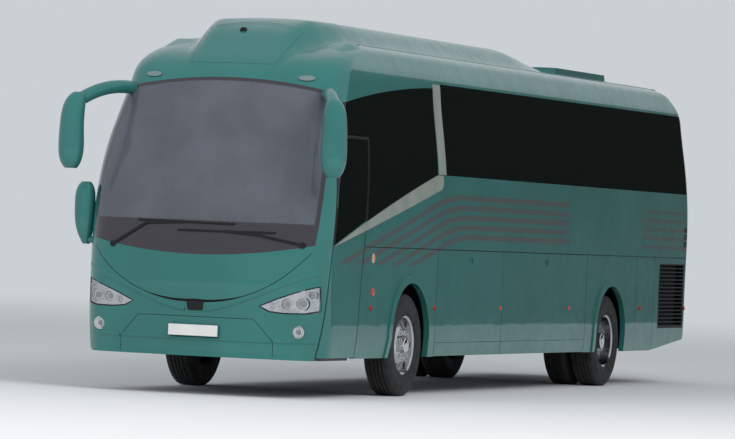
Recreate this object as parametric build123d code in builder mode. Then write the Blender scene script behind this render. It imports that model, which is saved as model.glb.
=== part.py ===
from build123d import *
import os
from math import atan2, cos, degrees, pi, radians, sin, sqrt, tan

os.makedirs("parts", exist_ok=True)

# Two-axle touring coach, in millimetres. X forward, Y to the left, Z up, from the ground under the middle.

# Main places and sizes
BODY_FRONT = 6410
BODY_REAR = -6510
FRONT_AXLE_X = 3670
REAR_AXLE_X = -3260
SKIRT_Z = 400
BELT_Z = 1510
SILL_Z = 2280
WINDOW_TOP_Z = 3225
ROOF_Z = 3255
ROOF_DECK_Z = 3535
ROOF_CROWN = 85
FLOOR_TOP = 1465
FLOOR_THICK = 45
BAY_FLOOR_TOP = 470
CAB_FLOOR_TOP = 1000

# Thicknesses and clearances
WALL = 45
ROOF_WALL = 30
GLASS = 8
PANEL_GAP = 6
TRIM = 5
LIP = 14
RUN_FIT = 0.05
SEAT_GAP = 0.4
PILLAR_HALF = 40

# Plan curves of the two ends
FRONT_ARC_R = 5500
REAR_ARC_R = 9000

# Body sections: height, half width, front setback, rear setback, front corner radius, rear corner radius
BODY_SECTIONS = [
    (380, 1252, 45, 40, 380, 160),
    (900, 1271, 8, 8, 380, 160),
    (1370, 1271, 2, 4, 380, 160),
    (2275, 1259, 195, 30, 360, 160),
    (2750, 1200, 420, 50, 340, 160),
    (3100, 1155, 630, 80, 320, 170),
    (3235, 1137, 720, 110, 320, 190),
    (3350, 1096, 880, 180, 330, 230),
    (3440, 1053, 1140, 280, 360, 270),
    (3497, 990, 1380, 400, 400, 300),
    (3535, 910, 1590, 560, 420, 320),
]


def arc_curve(x, y, radius, start, end):
    """Cubic curve along an arc, light enough to loft."""
    reach = 4 / 3 * tan((end - start) / 4) * radius
    a = (x + radius * cos(start), y + radius * sin(start))
    b = (x + radius * cos(end), y + radius * sin(end))
    Bezier(a, (a[0] - reach * sin(start), a[1] + reach * cos(start)),
           (b[0] + reach * sin(end), b[1] - reach * cos(end)), b)


def body_section(height, half_width, front_set, rear_set, front_r, rear_r, inset, drop):
    """Plan outline of the body at one height, moved in by inset and down by drop."""
    w = half_width - inset
    front = BODY_FRONT - front_set - inset
    rear = BODY_REAR + rear_set + inset
    rf, rr = front_r - inset, rear_r - inset
    centre_f = front - FRONT_ARC_R
    centre_r = rear + REAR_ARC_R
    corner_f = centre_f + sqrt((FRONT_ARC_R - rf) ** 2 - (w - rf) ** 2)
    corner_r = centre_r - sqrt((REAR_ARC_R - rr) ** 2 - (w - rr) ** 2)
    turn_f = atan2(w - rf, corner_f - centre_f)
    turn_r = atan2(w - rr, centre_r - corner_r)
    with BuildSketch(Plane.XY.offset(height - drop)) as outline:
        with BuildLine():
            arc_curve(centre_f, 0, FRONT_ARC_R, -turn_f, turn_f)
            arc_curve(corner_f, w - rf, rf, turn_f, pi / 2)
            Line((corner_f, w), (corner_r, w))
            arc_curve(corner_r, w - rr, rr, pi / 2, pi - turn_r)
            arc_curve(centre_r, 0, REAR_ARC_R, pi - turn_r, pi + turn_r)
            arc_curve(corner_r, rr - w, rr, pi + turn_r, 3 * pi / 2)
            Line((corner_r, -w), (corner_f, -w))
            arc_curve(corner_f, rf - w, rf, -pi / 2, -turn_f)
        make_face()
    return outline.sketch


def loft_body(inset, roof_drop=0):
    """Add the whole body form, its skin moved in by inset and its roof down by roof_drop."""
    top = BODY_SECTIONS[-1][0]
    low = BODY_SECTIONS[6][0]
    outlines = []
    for row in BODY_SECTIONS:
        drop = roof_drop * max(0, (row[0] - low) / (top - low))
        outlines.append(body_section(*row, inset, drop))
    loft(outlines)


def side_outline(points):
    """Closed outline in X and Z."""
    with BuildSketch(Plane.XZ) as outline:
        with BuildLine():
            Polyline(*points, close=True)
        make_face()
    return outline.sketch


def side_block(points, y_from, y_to, mode=Mode.ADD):
    """Outline in X and Z, through from one Y to another."""
    face = side_outline(points).moved(Location((0, y_from, 0)))
    extrude(face, amount=y_from - y_to, mode=mode)


def plan_block(points, z_from, z_to, mode=Mode.ADD):
    """Outline in X and Y, up from one Z to another."""
    with BuildSketch(Plane.XY.offset(z_from)) as outline:
        with BuildLine():
            Polyline(*points, close=True)
        make_face()
    extrude(outline.sketch, amount=z_to - z_from, mode=mode)


def cross_block(points, x_from, x_to, mode=Mode.ADD):
    """Outline in Y and Z, through from one X to another."""
    with BuildSketch(Plane.YZ.offset(x_from)) as outline:
        with BuildLine():
            Polyline(*points, close=True)
        make_face()
    extrude(outline.sketch, amount=x_to - x_from, mode=mode)


def block(x_from, x_to, y_from, y_to, z_from, z_to, mode=Mode.ADD):
    """Box between two corners."""
    with Locations(((x_from + x_to) / 2, (y_from + y_to) / 2, (z_from + z_to) / 2)):
        Box(x_to - x_from, y_to - y_from, z_to - z_from, mode=mode)


def plate(x_from, x_to, y_from, y_to, z_from, z_to, trim=None, holes=()):
    """Box as a solid of its own, trimmed to a form, with round holes."""
    with BuildPart() as one:
        block(x_from, x_to, y_from, y_to, z_from, z_to)
        if trim:
            add(trim, mode=Mode.INTERSECT)
        for hole in holes:
            rod(*hole, mode=Mode.SUBTRACT)
    return one.part


def welded(plates):
    """Plates that touch, kept as separate solids of one piece."""
    return Compound([solid for each in plates for solid in each.solids()])


def rod(axis_plane, start, length, radius, mode=Mode.ADD):
    """Round bar from a point along the normal of a plane."""
    with BuildSketch(Plane(origin=start, x_dir=axis_plane.x_dir, z_dir=axis_plane.z_dir)) as end:
        Circle(radius)
    extrude(end.sketch, amount=length, mode=mode)


def save(solid, name):
    """Name a piece and write its file."""
    solid.label = name
    export_step(solid, "parts/" + name + ".step")


# Body form at its skin, and moved in or out for glass, lining, fittings and trim
with BuildPart() as outer_body:
    loft_body(0)

with BuildPart() as glass_back:
    loft_body(GLASS, GLASS * ROOF_WALL / WALL)

with BuildPart() as pillar_face:
    loft_body(GLASS + SEAT_GAP, GLASS * ROOF_WALL / WALL + SEAT_GAP)

with BuildPart() as lining_body:
    loft_body(WALL, ROOF_WALL)

with BuildPart() as inside_body:
    loft_body(WALL + SEAT_GAP, ROOF_WALL + SEAT_GAP)

with BuildPart() as trim_seat:
    loft_body(-SEAT_GAP)

with BuildPart() as trim_body:
    loft_body(-TRIM)

with BuildPart() as lip_body:
    loft_body(-LIP)

# Seams in side view. The door edges and the front mask's edge lean back by EDGE_LEAN.
EDGE_LEAN = 0.125
DOOR_FRONT_X = 6130
DOOR_REAR_X = 5270
DOOR_TOP = 2600
DOOR_BOTTOM = 410
MASK_SEAM_X = DOOR_FRONT_X + PANEL_GAP
FAR = 7000
SIDE_Y = 700
OUT_Y = 1400
CAP_REAR_X = 2820
CAP_FRONT_X = 5850
CAP_FRONT_Z = 2945
REAR_SEAM_X = -6290


def leaning(x_at_skirt, z):
    """X of a leaning edge at one height."""
    return x_at_skirt - EDGE_LEAN * (z - SKIRT_Z)


# Rising underside behind the rear axle
TAIL_CUT = [(-4710, 380), (-6280, 528), (-6460, 610), (-6600, 720), (-6600, 300), (-4710, 300)]

# Doors of the luggage bays, each side: name, rear edge X, front edge X, torsion tube's rear and front ends
BAYS = [
    ("front", 730, 2880, 735, 2900),
    ("rear", -2280, 730, -2300, 725),
]

# Wheel arches: name, axle X, half width, straight height, forward flare at the skirt
ARCHES = [
    ("front", FRONT_AXLE_X, 560, 595, 150),
    ("rear", REAR_AXLE_X, 560, 595, 0),
]


# Engine grille in each side: rear X, front X, lower Z, upper Z
GRILLE = (-6240, -5170, 665, 1435)


def arch_outline(axle_x, half_width, straight_z, flare, margin):
    """Wheel opening in side view, with its edge moved out by margin."""
    r = half_width + margin
    with BuildSketch(Plane.XZ) as outline:
        with BuildLine():
            Line((axle_x - r, 200), (axle_x - r, straight_z))
            ThreePointArc((axle_x - r, straight_z), (axle_x, straight_z + r), (axle_x + r, straight_z))
            Line((axle_x + r, straight_z), (axle_x + r + flare, 200))
            Line((axle_x + r + flare, 200), (axle_x - r, 200))
        make_face()
    return outline.sketch


def arch_block(row, margin, y_from, y_to, mode=Mode.ADD):
    """One wheel opening through from one Y to another."""
    name, axle_x, half_width, straight_z, flare = row
    face = arch_outline(axle_x, half_width, straight_z, flare, margin).moved(Location((0, y_from, 0)))
    extrude(face, amount=y_from - y_to, mode=mode)


# Front side pane: the flash rises along its lower edge
def front_pane_block(mode=Mode.ADD):
    """The long pane ahead of the B pillar, through the left side."""
    with BuildSketch(Plane.XZ.offset(-SIDE_Y)) as outline:
        with BuildLine():
            ThreePointArc((5925, 1530), (4700, 1864), (2950, SILL_Z))
            Line((2950, SILL_Z), (2925, 3175))
            ThreePointArc((2925, 3175), (4400, 3074), (5645, 2912))
            Line((5645, 2912), (5925, 1530))
        make_face()
    extrude(outline.sketch, amount=SIDE_Y - OUT_Y, mode=mode)


# Saloon panes: rear edge X, front edge X
SALOON_PANES = [
    (440, 2690),
    (-1930, 440),
    (-3980, -1930),
    (REAR_SEAM_X + PILLAR_HALF, -3980),
]

# Hidden pillars behind the panes, and the joint between panes
PILLAR_XS = (4400, 440, -1930, -3980)
PANE_GAP = 2
ARCH_LIP = 95

# Windscreen outline in Y and Z
SCREEN_BOTTOM_Z, SCREEN_CORNER_Z, SCREEN_CORNER_Y = 1373, 1500, 1160
SCREEN_SIDE_Z, SCREEN_SIDE_Y = 2300, 1172
SCREEN_TOP_Z, SCREEN_TOP_CORNER_Z, SCREEN_TOP_CORNER_Y = 3130, 3020, 1055
SCREEN_REAR_X = 5200
SCREEN_DEPTH = 1400


def screen_block(mode=Mode.ADD):
    """Windscreen outline through the front of the body."""
    with BuildSketch(Plane.YZ.offset(SCREEN_REAR_X)) as outline:
        with BuildLine():
            ThreePointArc((-SCREEN_CORNER_Y, SCREEN_CORNER_Z), (0, SCREEN_BOTTOM_Z), (SCREEN_CORNER_Y, SCREEN_CORNER_Z))
            ThreePointArc((SCREEN_CORNER_Y, SCREEN_CORNER_Z), (SCREEN_SIDE_Y, SCREEN_SIDE_Z),
                          (SCREEN_TOP_CORNER_Y, SCREEN_TOP_CORNER_Z))
            ThreePointArc((SCREEN_TOP_CORNER_Y, SCREEN_TOP_CORNER_Z), (0, SCREEN_TOP_Z),
                          (-SCREEN_TOP_CORNER_Y, SCREEN_TOP_CORNER_Z))
            ThreePointArc((-SCREEN_TOP_CORNER_Y, SCREEN_TOP_CORNER_Z), (-SCREEN_SIDE_Y, SCREEN_SIDE_Z),
                          (-SCREEN_CORNER_Y, SCREEN_CORNER_Z))
        make_face()
    extrude(outline.sketch, amount=SCREEN_DEPTH, mode=mode)


# Entry door leaf in side view
DOOR_OPENING = [
    (leaning(DOOR_FRONT_X + PANEL_GAP, 300), 300),
    (leaning(DOOR_FRONT_X + PANEL_GAP, DOOR_TOP + PANEL_GAP), DOOR_TOP + PANEL_GAP),
    (leaning(DOOR_REAR_X - PANEL_GAP, DOOR_TOP + PANEL_GAP), DOOR_TOP + PANEL_GAP),
    (leaning(DOOR_REAR_X - PANEL_GAP, 300), 300),
]
DOOR_LEAF = [
    (leaning(DOOR_FRONT_X, DOOR_BOTTOM), DOOR_BOTTOM),
    (leaning(DOOR_FRONT_X, DOOR_TOP), DOOR_TOP),
    (leaning(DOOR_REAR_X, DOOR_TOP), DOOR_TOP),
    (leaning(DOOR_REAR_X, DOOR_BOTTOM), DOOR_BOTTOM),
]

# Flash along the lower edge of the front pane: upper and lower edges in side view
FLASH_TOP = [(5990, 1500), (4700, 1864), (2980, 2273)]
FLASH_LOW = [(2870, 2125), (4700, 1752), (5990, 1500)]


def flash_block(mode=Mode.ADD):
    """Bright flash from the mask seam up to the B pillar, through the left side."""
    with BuildSketch(Plane.XZ.offset(-SIDE_Y)) as outline:
        with BuildLine():
            ThreePointArc(*FLASH_TOP)
            Line(FLASH_TOP[-1], (2800, 2273))
            ThreePointArc((2800, 2273), (2795, 2190), FLASH_LOW[0])
            ThreePointArc(*FLASH_LOW)
        make_face()
    extrude(outline.sketch, amount=SIDE_Y - OUT_Y, mode=mode)


# Fixed side panels, built on the left and mirrored
SIDE_OUTLINE = [(REAR_SEAM_X, 300), (leaning(MASK_SEAM_X, 300), 300), (leaning(MASK_SEAM_X, CAP_FRONT_Z), CAP_FRONT_Z),
                (CAP_REAR_X, ROOF_Z), (REAR_SEAM_X, ROOF_Z)]

with BuildPart() as side_wall:
    add(outer_body.part)
    side_block(SIDE_OUTLINE, SIDE_Y, OUT_Y, mode=Mode.INTERSECT)
    add(lining_body.part, mode=Mode.SUBTRACT)
    screen_block(mode=Mode.SUBTRACT)

with BuildPart() as window_pillars:
    for x in PILLAR_XS:
        block(x - PILLAR_HALF, x + PILLAR_HALF, SIDE_Y, OUT_Y, 1850, 3250)
    side_block(SIDE_OUTLINE, SIDE_Y, OUT_Y, mode=Mode.INTERSECT)
    add(pillar_face.part, mode=Mode.INTERSECT)
    add(lining_body.part, mode=Mode.SUBTRACT)

with BuildPart() as upper_side:
    add(side_wall.part)
    block(REAR_SEAM_X - 10, FAR, SIDE_Y, OUT_Y, BELT_Z, 3600, mode=Mode.INTERSECT)
    front_pane_block(mode=Mode.SUBTRACT)
    block(SALOON_PANES[-1][0], SALOON_PANES[0][1], SIDE_Y, OUT_Y, SILL_Z, WINDOW_TOP_Z, mode=Mode.SUBTRACT)
    add(window_pillars.part)

with BuildPart() as front_side_pane:
    front_pane_block()
    add(outer_body.part, mode=Mode.INTERSECT)
    add(glass_back.part, mode=Mode.SUBTRACT)

with BuildPart() as saloon_panes:
    for rear_x, front_x in SALOON_PANES:
        block(rear_x + PANE_GAP, front_x - PANE_GAP, SIDE_Y, OUT_Y, SILL_Z, WINDOW_TOP_Z)
    add(outer_body.part, mode=Mode.INTERSECT)
    add(glass_back.part, mode=Mode.SUBTRACT)

with BuildPart() as left_upper_side:
    add(upper_side.part)
    side_block(DOOR_OPENING, SIDE_Y, OUT_Y, mode=Mode.SUBTRACT)

with BuildPart() as right_upper_side:
    mirror(upper_side.part, about=Plane.XZ)

with BuildPart() as left_side_glass:
    add(front_side_pane.part)
    side_block(DOOR_OPENING, SIDE_Y, OUT_Y, mode=Mode.SUBTRACT)
    add(saloon_panes.part)

with BuildPart() as right_side_glass:
    mirror(front_side_pane.part, about=Plane.XZ)
    mirror(saloon_panes.part, about=Plane.XZ)

with BuildPart() as arch_rims:
    for row in ARCHES:
        arch_block(row, ARCH_LIP, SIDE_Y, OUT_Y)
    for row in ARCHES:
        arch_block(row, 0, SIDE_Y, OUT_Y, mode=Mode.SUBTRACT)
    add(lip_body.part, mode=Mode.INTERSECT)
    add(lining_body.part, mode=Mode.SUBTRACT)
    block(-FAR, FAR, SIDE_Y, OUT_Y, SKIRT_Z, BELT_Z, mode=Mode.INTERSECT)

with BuildPart() as lower_side:
    add(side_wall.part)
    block(REAR_SEAM_X - 10, FAR, SIDE_Y, OUT_Y, SKIRT_Z, BELT_Z, mode=Mode.INTERSECT)
    side_block(TAIL_CUT, SIDE_Y, OUT_Y, mode=Mode.SUBTRACT)
    for row in ARCHES:
        arch_block(row, ARCH_LIP, SIDE_Y, OUT_Y, mode=Mode.SUBTRACT)
    block(BAYS[-1][1], BAYS[0][2], SIDE_Y, OUT_Y, 300, BELT_Z, mode=Mode.SUBTRACT)
    block(GRILLE[0], GRILLE[1], SIDE_Y, OUT_Y, GRILLE[2], GRILLE[3], mode=Mode.SUBTRACT)
    add(arch_rims.part)

with BuildPart() as left_lower_side:
    add(lower_side.part)
    side_block(DOOR_OPENING, SIDE_Y, OUT_Y, mode=Mode.SUBTRACT)

with BuildPart() as right_lower_side:
    mirror(lower_side.part, about=Plane.XZ)

save(left_upper_side.part, "left_upper_side")
save(right_upper_side.part, "right_upper_side")
save(left_lower_side.part, "left_lower_side")
save(right_lower_side.part, "right_lower_side")
save(left_side_glass.part, "left_side_glass")
save(right_side_glass.part, "right_side_glass")

# Windscreen, in the opening of the mask and the roof cap
with BuildPart() as windscreen:
    screen_block()
    add(outer_body.part, mode=Mode.INTERSECT)
    add(glass_back.part, mode=Mode.SUBTRACT)

save(windscreen.part, "windscreen")

# Front mask with its pillars, the smiling flap and the bumper centre
BUMPER_TOP_Y, BUMPER_TOP_Z = 605, 765
BUMPER_KNEE_Y, BUMPER_KNEE_Z = 798, 554
PLATE_WIDTH, PLATE_HEIGHT, PLATE_THICK, PLATE_Z = 520, 111, 4, 632

# Headlamp outline in Y and Z, left side
HEADLAMP = [(661, 893), (830, 968), (966, 1020), (1110, 1072), (1238, 1114), (1245, 857), (1104, 830), (900, 826),
            (760, 846)]
# Bowls behind each headlamp lens: Y, Z, radius, X of the bottom
HEADLAMP_BOWLS = [(1078, 932, 58, 6250), (932, 926, 52, 6288), (1160, 1022, 36, 6180), (802, 900, 30, 6316)]
FOG_Y, FOG_Z, FOG_R = 1044, 657, 52
LAMP_REAR_X = 6142
PLATE_X = 6407
REAR_PLATE_X, REAR_PLATE_Z = -6512, 780


def flap_outline():
    """Smiling flap under the windscreen, seen from the front."""
    with BuildSketch(Plane.YZ) as outline:
        with BuildLine():
            ThreePointArc((-1185, 1506), (-1030, 1258), (-800, 1092))
            ThreePointArc((-800, 1092), (0, 925), (800, 1092))
            ThreePointArc((800, 1092), (1030, 1258), (1185, 1506))
            Line((1185, 1506), (-1185, 1506))
        make_face()
    return outline.sketch


def front_block(face, mode=Mode.ADD):
    """Outline in Y and Z through the front end."""
    extrude(face.moved(Location((LAMP_REAR_X, 0, 0))), amount=6700 - LAMP_REAR_X, mode=mode)


def lamp_blocks(mode=Mode.ADD):
    """Both headlamps and both fog lamps through the front end."""
    for side in (-1, 1):
        with BuildSketch(Plane.YZ.offset(LAMP_REAR_X)) as outline:
            with BuildLine():
                Polyline(*[(side * y, z) for y, z in HEADLAMP], close=True)
            make_face()
            fillet(outline.vertices(), radius=14)
        extrude(outline.sketch, amount=6700 - LAMP_REAR_X, mode=mode)
        rod(Plane.YZ, (LAMP_REAR_X, side * FOG_Y, FOG_Z), 500, FOG_R, mode=mode)


def bumper_outline():
    """Centre panel of the bumper, seen from the front."""
    with BuildSketch(Plane.YZ) as outline:
        with BuildLine():
            Polyline((-BUMPER_TOP_Y, BUMPER_TOP_Z), (BUMPER_TOP_Y, BUMPER_TOP_Z), (BUMPER_KNEE_Y, BUMPER_KNEE_Z),
                     (BUMPER_KNEE_Y + 10, 300), (-BUMPER_KNEE_Y - 10, 300), (-BUMPER_KNEE_Y, BUMPER_KNEE_Z), close=True)
        make_face()
    return outline.sketch


with BuildPart() as front_shell:
    add(outer_body.part)
    side_block([(leaning(MASK_SEAM_X, 300), 300), (FAR, 300), (FAR, CAP_FRONT_Z),
                (leaning(MASK_SEAM_X, CAP_FRONT_Z), CAP_FRONT_Z)], -OUT_Y, OUT_Y, mode=Mode.INTERSECT)
    add(lining_body.part, mode=Mode.SUBTRACT)
    screen_block(mode=Mode.SUBTRACT)

with BuildPart() as front_flap:
    add(front_shell.part)
    front_block(flap_outline(), mode=Mode.INTERSECT)

with BuildPart() as front_bumper:
    add(front_shell.part)
    front_block(bumper_outline(), mode=Mode.INTERSECT)
    block(6340, PLATE_X, -PLATE_WIDTH / 2, PLATE_WIDTH / 2, PLATE_Z - PLATE_HEIGHT / 2, PLATE_Z + PLATE_HEIGHT / 2)

with BuildPart() as front_mask:
    add(front_shell.part)
    front_block(flap_outline(), mode=Mode.SUBTRACT)
    front_block(bumper_outline(), mode=Mode.SUBTRACT)
    lamp_blocks(mode=Mode.SUBTRACT)

with BuildPart() as headlamp_lenses:
    lamp_blocks()
    add(outer_body.part, mode=Mode.INTERSECT)
    add(glass_back.part, mode=Mode.SUBTRACT)

with BuildPart() as headlamp_bowls:
    lamp_blocks()
    add(pillar_face.part, mode=Mode.INTERSECT)
    add(lining_body.part, mode=Mode.SUBTRACT)
    for y, z, radius, bottom_x in HEADLAMP_BOWLS:
        for side in (-1, 1):
            rod(Plane.YZ, (bottom_x, side * y, z), 300, radius, mode=Mode.SUBTRACT)

save(front_flap.part, "front_flap")
save(front_bumper.part, "front_bumper")
save(front_mask.part, "front_mask")
save(headlamp_lenses.part, "headlamp_lenses")
save(headlamp_bowls.part, "headlamp_bowls")

# Number plates, blank
with BuildPart() as number_plates:
    block(PLATE_X, PLATE_X + PLATE_THICK, -PLATE_WIDTH / 2 + 2, PLATE_WIDTH / 2 - 2, PLATE_Z - PLATE_HEIGHT / 2 + 2,
          PLATE_Z + PLATE_HEIGHT / 2 - 2)
    block(REAR_PLATE_X - PLATE_THICK, REAR_PLATE_X, -PLATE_WIDTH / 2 + 2, PLATE_WIDTH / 2 - 2,
          REAR_PLATE_Z - PLATE_HEIGHT / 2 + 2, REAR_PLATE_Z + PLATE_HEIGHT / 2 - 2)

save(number_plates.part, "number_plates")

# Roof: cap over the windscreen, then the long roof with its crown
CROWN_FRONT_X = 4820
CROWN_REAR_X = -5950
CROWN_HALF = 900


def crown_outline():
    """Crown of the roof deck in cross-section."""
    with BuildSketch(Plane.YZ) as outline:
        with BuildLine():
            ThreePointArc((-CROWN_HALF, ROOF_DECK_Z), (0, ROOF_DECK_Z + ROOF_CROWN), (CROWN_HALF, ROOF_DECK_Z))
            Line((CROWN_HALF, ROOF_DECK_Z), (CROWN_HALF, ROOF_DECK_Z - 10))
            Line((CROWN_HALF, ROOF_DECK_Z - 10), (-CROWN_HALF, ROOF_DECK_Z - 10))
            Line((-CROWN_HALF, ROOF_DECK_Z - 10), (-CROWN_HALF, ROOF_DECK_Z))
        make_face()
    return outline.sketch


with BuildPart() as crown:
    extrude(crown_outline().moved(Location((CROWN_REAR_X, 0, 0))), amount=CROWN_FRONT_X - CROWN_REAR_X)
    with BuildSketch(Plane.XZ.offset(-1000)) as crown_side:
        with BuildLine():
            Line((CROWN_REAR_X, ROOF_DECK_Z - 10), (CROWN_REAR_X, ROOF_DECK_Z - 5))
            ThreePointArc((CROWN_REAR_X, ROOF_DECK_Z - 5), (CROWN_REAR_X + 500, ROOF_DECK_Z + 55),
                          (CROWN_REAR_X + 1300, ROOF_DECK_Z + ROOF_CROWN))
            Line((CROWN_REAR_X + 1300, ROOF_DECK_Z + ROOF_CROWN), (CROWN_FRONT_X - 1300, ROOF_DECK_Z + ROOF_CROWN))
            ThreePointArc((CROWN_FRONT_X - 1300, ROOF_DECK_Z + ROOF_CROWN), (CROWN_FRONT_X - 500, ROOF_DECK_Z + 55),
                          (CROWN_FRONT_X, ROOF_DECK_Z - 5))
            Line((CROWN_FRONT_X, ROOF_DECK_Z - 5), (CROWN_FRONT_X, ROOF_DECK_Z - 10))
            Line((CROWN_FRONT_X, ROOF_DECK_Z - 10), (CROWN_REAR_X, ROOF_DECK_Z - 10))
        make_face()
    extrude(crown_side.sketch, amount=2000, mode=Mode.INTERSECT)

with BuildPart() as roof_shell:
    add(outer_body.part)
    side_block([(REAR_SEAM_X - 400, ROOF_Z), (CAP_REAR_X, ROOF_Z), (leaning(MASK_SEAM_X, CAP_FRONT_Z), CAP_FRONT_Z),
                (FAR, CAP_FRONT_Z), (FAR, 3700), (REAR_SEAM_X - 400, 3700)], -OUT_Y, OUT_Y, mode=Mode.INTERSECT)
    add(lining_body.part, mode=Mode.SUBTRACT)
    screen_block(mode=Mode.SUBTRACT)
    add(crown.part)

with BuildPart() as front_roof_cap:
    add(roof_shell.part)
    block(CAP_REAR_X, FAR, -OUT_Y, OUT_Y, 2900, 3800, mode=Mode.INTERSECT)

with BuildPart() as roof:
    add(roof_shell.part)
    block(-FAR, CAP_REAR_X, -OUT_Y, OUT_Y, 2900, 3800, mode=Mode.INTERSECT)

save(front_roof_cap.part, "front_roof_cap")
save(roof.part, "roof")

# Roof pod: side view, plan and cross-section meet in one form
POD_TOP = 3780
POD_HALF = 780
POD_FOOT_X, POD_FOOT_Z = 5706, 3234
POD_BROW_X, POD_BROW_Z = 5225, 3612
POD_REAR_X, POD_REAR_Z = -2130, 3612
POD_FRONT_HALF, POD_REAR_HALF = 470, 640
POD_SHOULDER, POD_SHOULDER_DROP = 290, 220

with BuildPart() as roof_pod:
    with BuildSketch(Plane.XZ.offset(-1000)) as pod_side:
        with BuildLine():
            Line((POD_FOOT_X, POD_FOOT_Z), (POD_BROW_X, POD_BROW_Z))
            ThreePointArc((POD_BROW_X, POD_BROW_Z), (4900, 3738), (4450, POD_TOP))
            Line((4450, POD_TOP), (-530, POD_TOP))
            ThreePointArc((-530, POD_TOP), (-1330, 3680), (POD_REAR_X, POD_REAR_Z))
            Line((POD_REAR_X, POD_REAR_Z), (POD_REAR_X, 3300))
            Line((POD_REAR_X, 3300), (POD_FOOT_X, 3180))
            Line((POD_FOOT_X, 3180), (POD_FOOT_X, POD_FOOT_Z))
        make_face()
    extrude(pod_side.sketch, amount=2000)
    with BuildSketch(Plane.XY.offset(3000)) as pod_plan:
        with BuildLine():
            for side in (-1, 1):
                Line((5800, side * (POD_FRONT_HALF - 10)), (POD_BROW_X, side * (POD_FRONT_HALF + 42)))
                ThreePointArc((POD_BROW_X, side * (POD_FRONT_HALF + 42)), (4500, side * 672), (3300, side * POD_HALF))
                Line((3300, side * POD_HALF), (-700, side * POD_HALF))
                Line((-700, side * POD_HALF), (POD_REAR_X, side * POD_REAR_HALF))
            Line((5800, POD_FRONT_HALF - 10), (5800, 10 - POD_FRONT_HALF))
            Line((POD_REAR_X, POD_REAR_HALF), (POD_REAR_X, -POD_REAR_HALF))
        make_face()
    extrude(pod_plan.sketch, amount=1000, mode=Mode.INTERSECT)
    with BuildSketch(Plane.YZ.offset(-2300)) as pod_section:
        with BuildLine():
            crown_y, crown_z = POD_HALF - POD_SHOULDER, POD_TOP - 26
            for side in (-1, 1):
                Line((side * POD_HALF, 3150), (side * POD_HALF, crown_z - POD_SHOULDER_DROP))
                ThreePointArc((side * POD_HALF, crown_z - POD_SHOULDER_DROP),
                              (side * (POD_HALF - 0.26 * POD_SHOULDER), crown_z - 0.30 * POD_SHOULDER_DROP),
                              (side * crown_y, crown_z))
            ThreePointArc((-crown_y, crown_z), (0, POD_TOP), (crown_y, crown_z))
            Line((POD_HALF, 3150), (-POD_HALF, 3150))
        make_face()
    extrude(pod_section.sketch, amount=8200, mode=Mode.INTERSECT)
    add(trim_seat.part, mode=Mode.SUBTRACT)
    add(crown.part.moved(Location((0, 0, SEAT_GAP))), mode=Mode.SUBTRACT)

save(roof_pod.part, "roof_pod")

# Bright flash and B pillar covers, standing proud of the side
with BuildPart() as side_trim:
    flash_block()
    block(2705, 2930, SIDE_Y, OUT_Y, SILL_Z + 5, WINDOW_TOP_Z - 10)
    add(trim_body.part, mode=Mode.INTERSECT)
    add(trim_seat.part, mode=Mode.SUBTRACT)

with BuildPart() as bright_trim:
    add(side_trim.part)
    side_block(DOOR_OPENING, SIDE_Y, OUT_Y, mode=Mode.SUBTRACT)
    mirror(side_trim.part, about=Plane.XZ)

save(bright_trim.part, "bright_trim")

# Entry door: leaf with its glass, carried by two arms on an upright post
DOOR_GLASS = [(leaning(DOOR_FRONT_X - 30, 1525), 1525), (leaning(DOOR_FRONT_X - 30, 2570), 2570),
              (leaning(DOOR_REAR_X + 30, 2570), 2570), (leaning(DOOR_REAR_X + 30, 1765), 1765)]
DOOR_POST_X, DOOR_POST_Y = 5900, 1140
DOOR_POST_R = 22
DOOR_POST_LOW, DOOR_POST_HIGH = 420, 1470
DOOR_ARM_REACH = 500
DOOR_ARM_ZS = (640, 1400)
DOOR_ARM_THICK = 26
DOOR_PIN_R = 11
STAIR_Y = 1185

with BuildPart() as entry_door_glass:
    side_block(DOOR_GLASS, SIDE_Y, OUT_Y)
    add(outer_body.part, mode=Mode.INTERSECT)
    add(glass_back.part, mode=Mode.SUBTRACT)

with BuildPart() as entry_door:
    side_block(DOOR_LEAF, SIDE_Y, OUT_Y)
    add(outer_body.part, mode=Mode.INTERSECT)
    add(lining_body.part, mode=Mode.SUBTRACT)
    side_block(DOOR_GLASS, SIDE_Y, OUT_Y, mode=Mode.SUBTRACT)
    for z in DOOR_ARM_ZS:
        block(DOOR_POST_X - DOOR_ARM_REACH - 25, DOOR_POST_X - DOOR_ARM_REACH + 25, DOOR_POST_Y - 25, 1235,
              z + DOOR_ARM_THICK / 2 + 1, z + DOOR_ARM_THICK / 2 + 13)
        rod(Plane.XY, (DOOR_POST_X - DOOR_ARM_REACH, DOOR_POST_Y, z), 40, DOOR_PIN_R + RUN_FIT, mode=Mode.SUBTRACT)

with BuildPart() as entry_door_trim:
    add(side_trim.part)
    side_block(DOOR_LEAF, SIDE_Y, OUT_Y, mode=Mode.INTERSECT)

with BuildPart() as entry_door_arms:
    rod(Plane.XY, (DOOR_POST_X, DOOR_POST_Y, DOOR_POST_LOW), DOOR_POST_HIGH - DOOR_POST_LOW, DOOR_POST_R)
    rod(Plane.XY, (DOOR_POST_X, DOOR_POST_Y, DOOR_POST_LOW - 20), DOOR_POST_HIGH - DOOR_POST_LOW + 40, 12)
    for z in DOOR_ARM_ZS:
        with BuildSketch(Plane.XY.offset(z - DOOR_ARM_THICK / 2)) as arm:
            with Locations((DOOR_POST_X - DOOR_ARM_REACH / 2, DOOR_POST_Y)):
                SlotCenterToCenter(DOOR_ARM_REACH, 40)
        extrude(arm.sketch, amount=DOOR_ARM_THICK)
        rod(Plane.XY, (DOOR_POST_X - DOOR_ARM_REACH, DOOR_POST_Y, z), DOOR_ARM_THICK / 2 + 14, DOOR_PIN_R)

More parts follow.
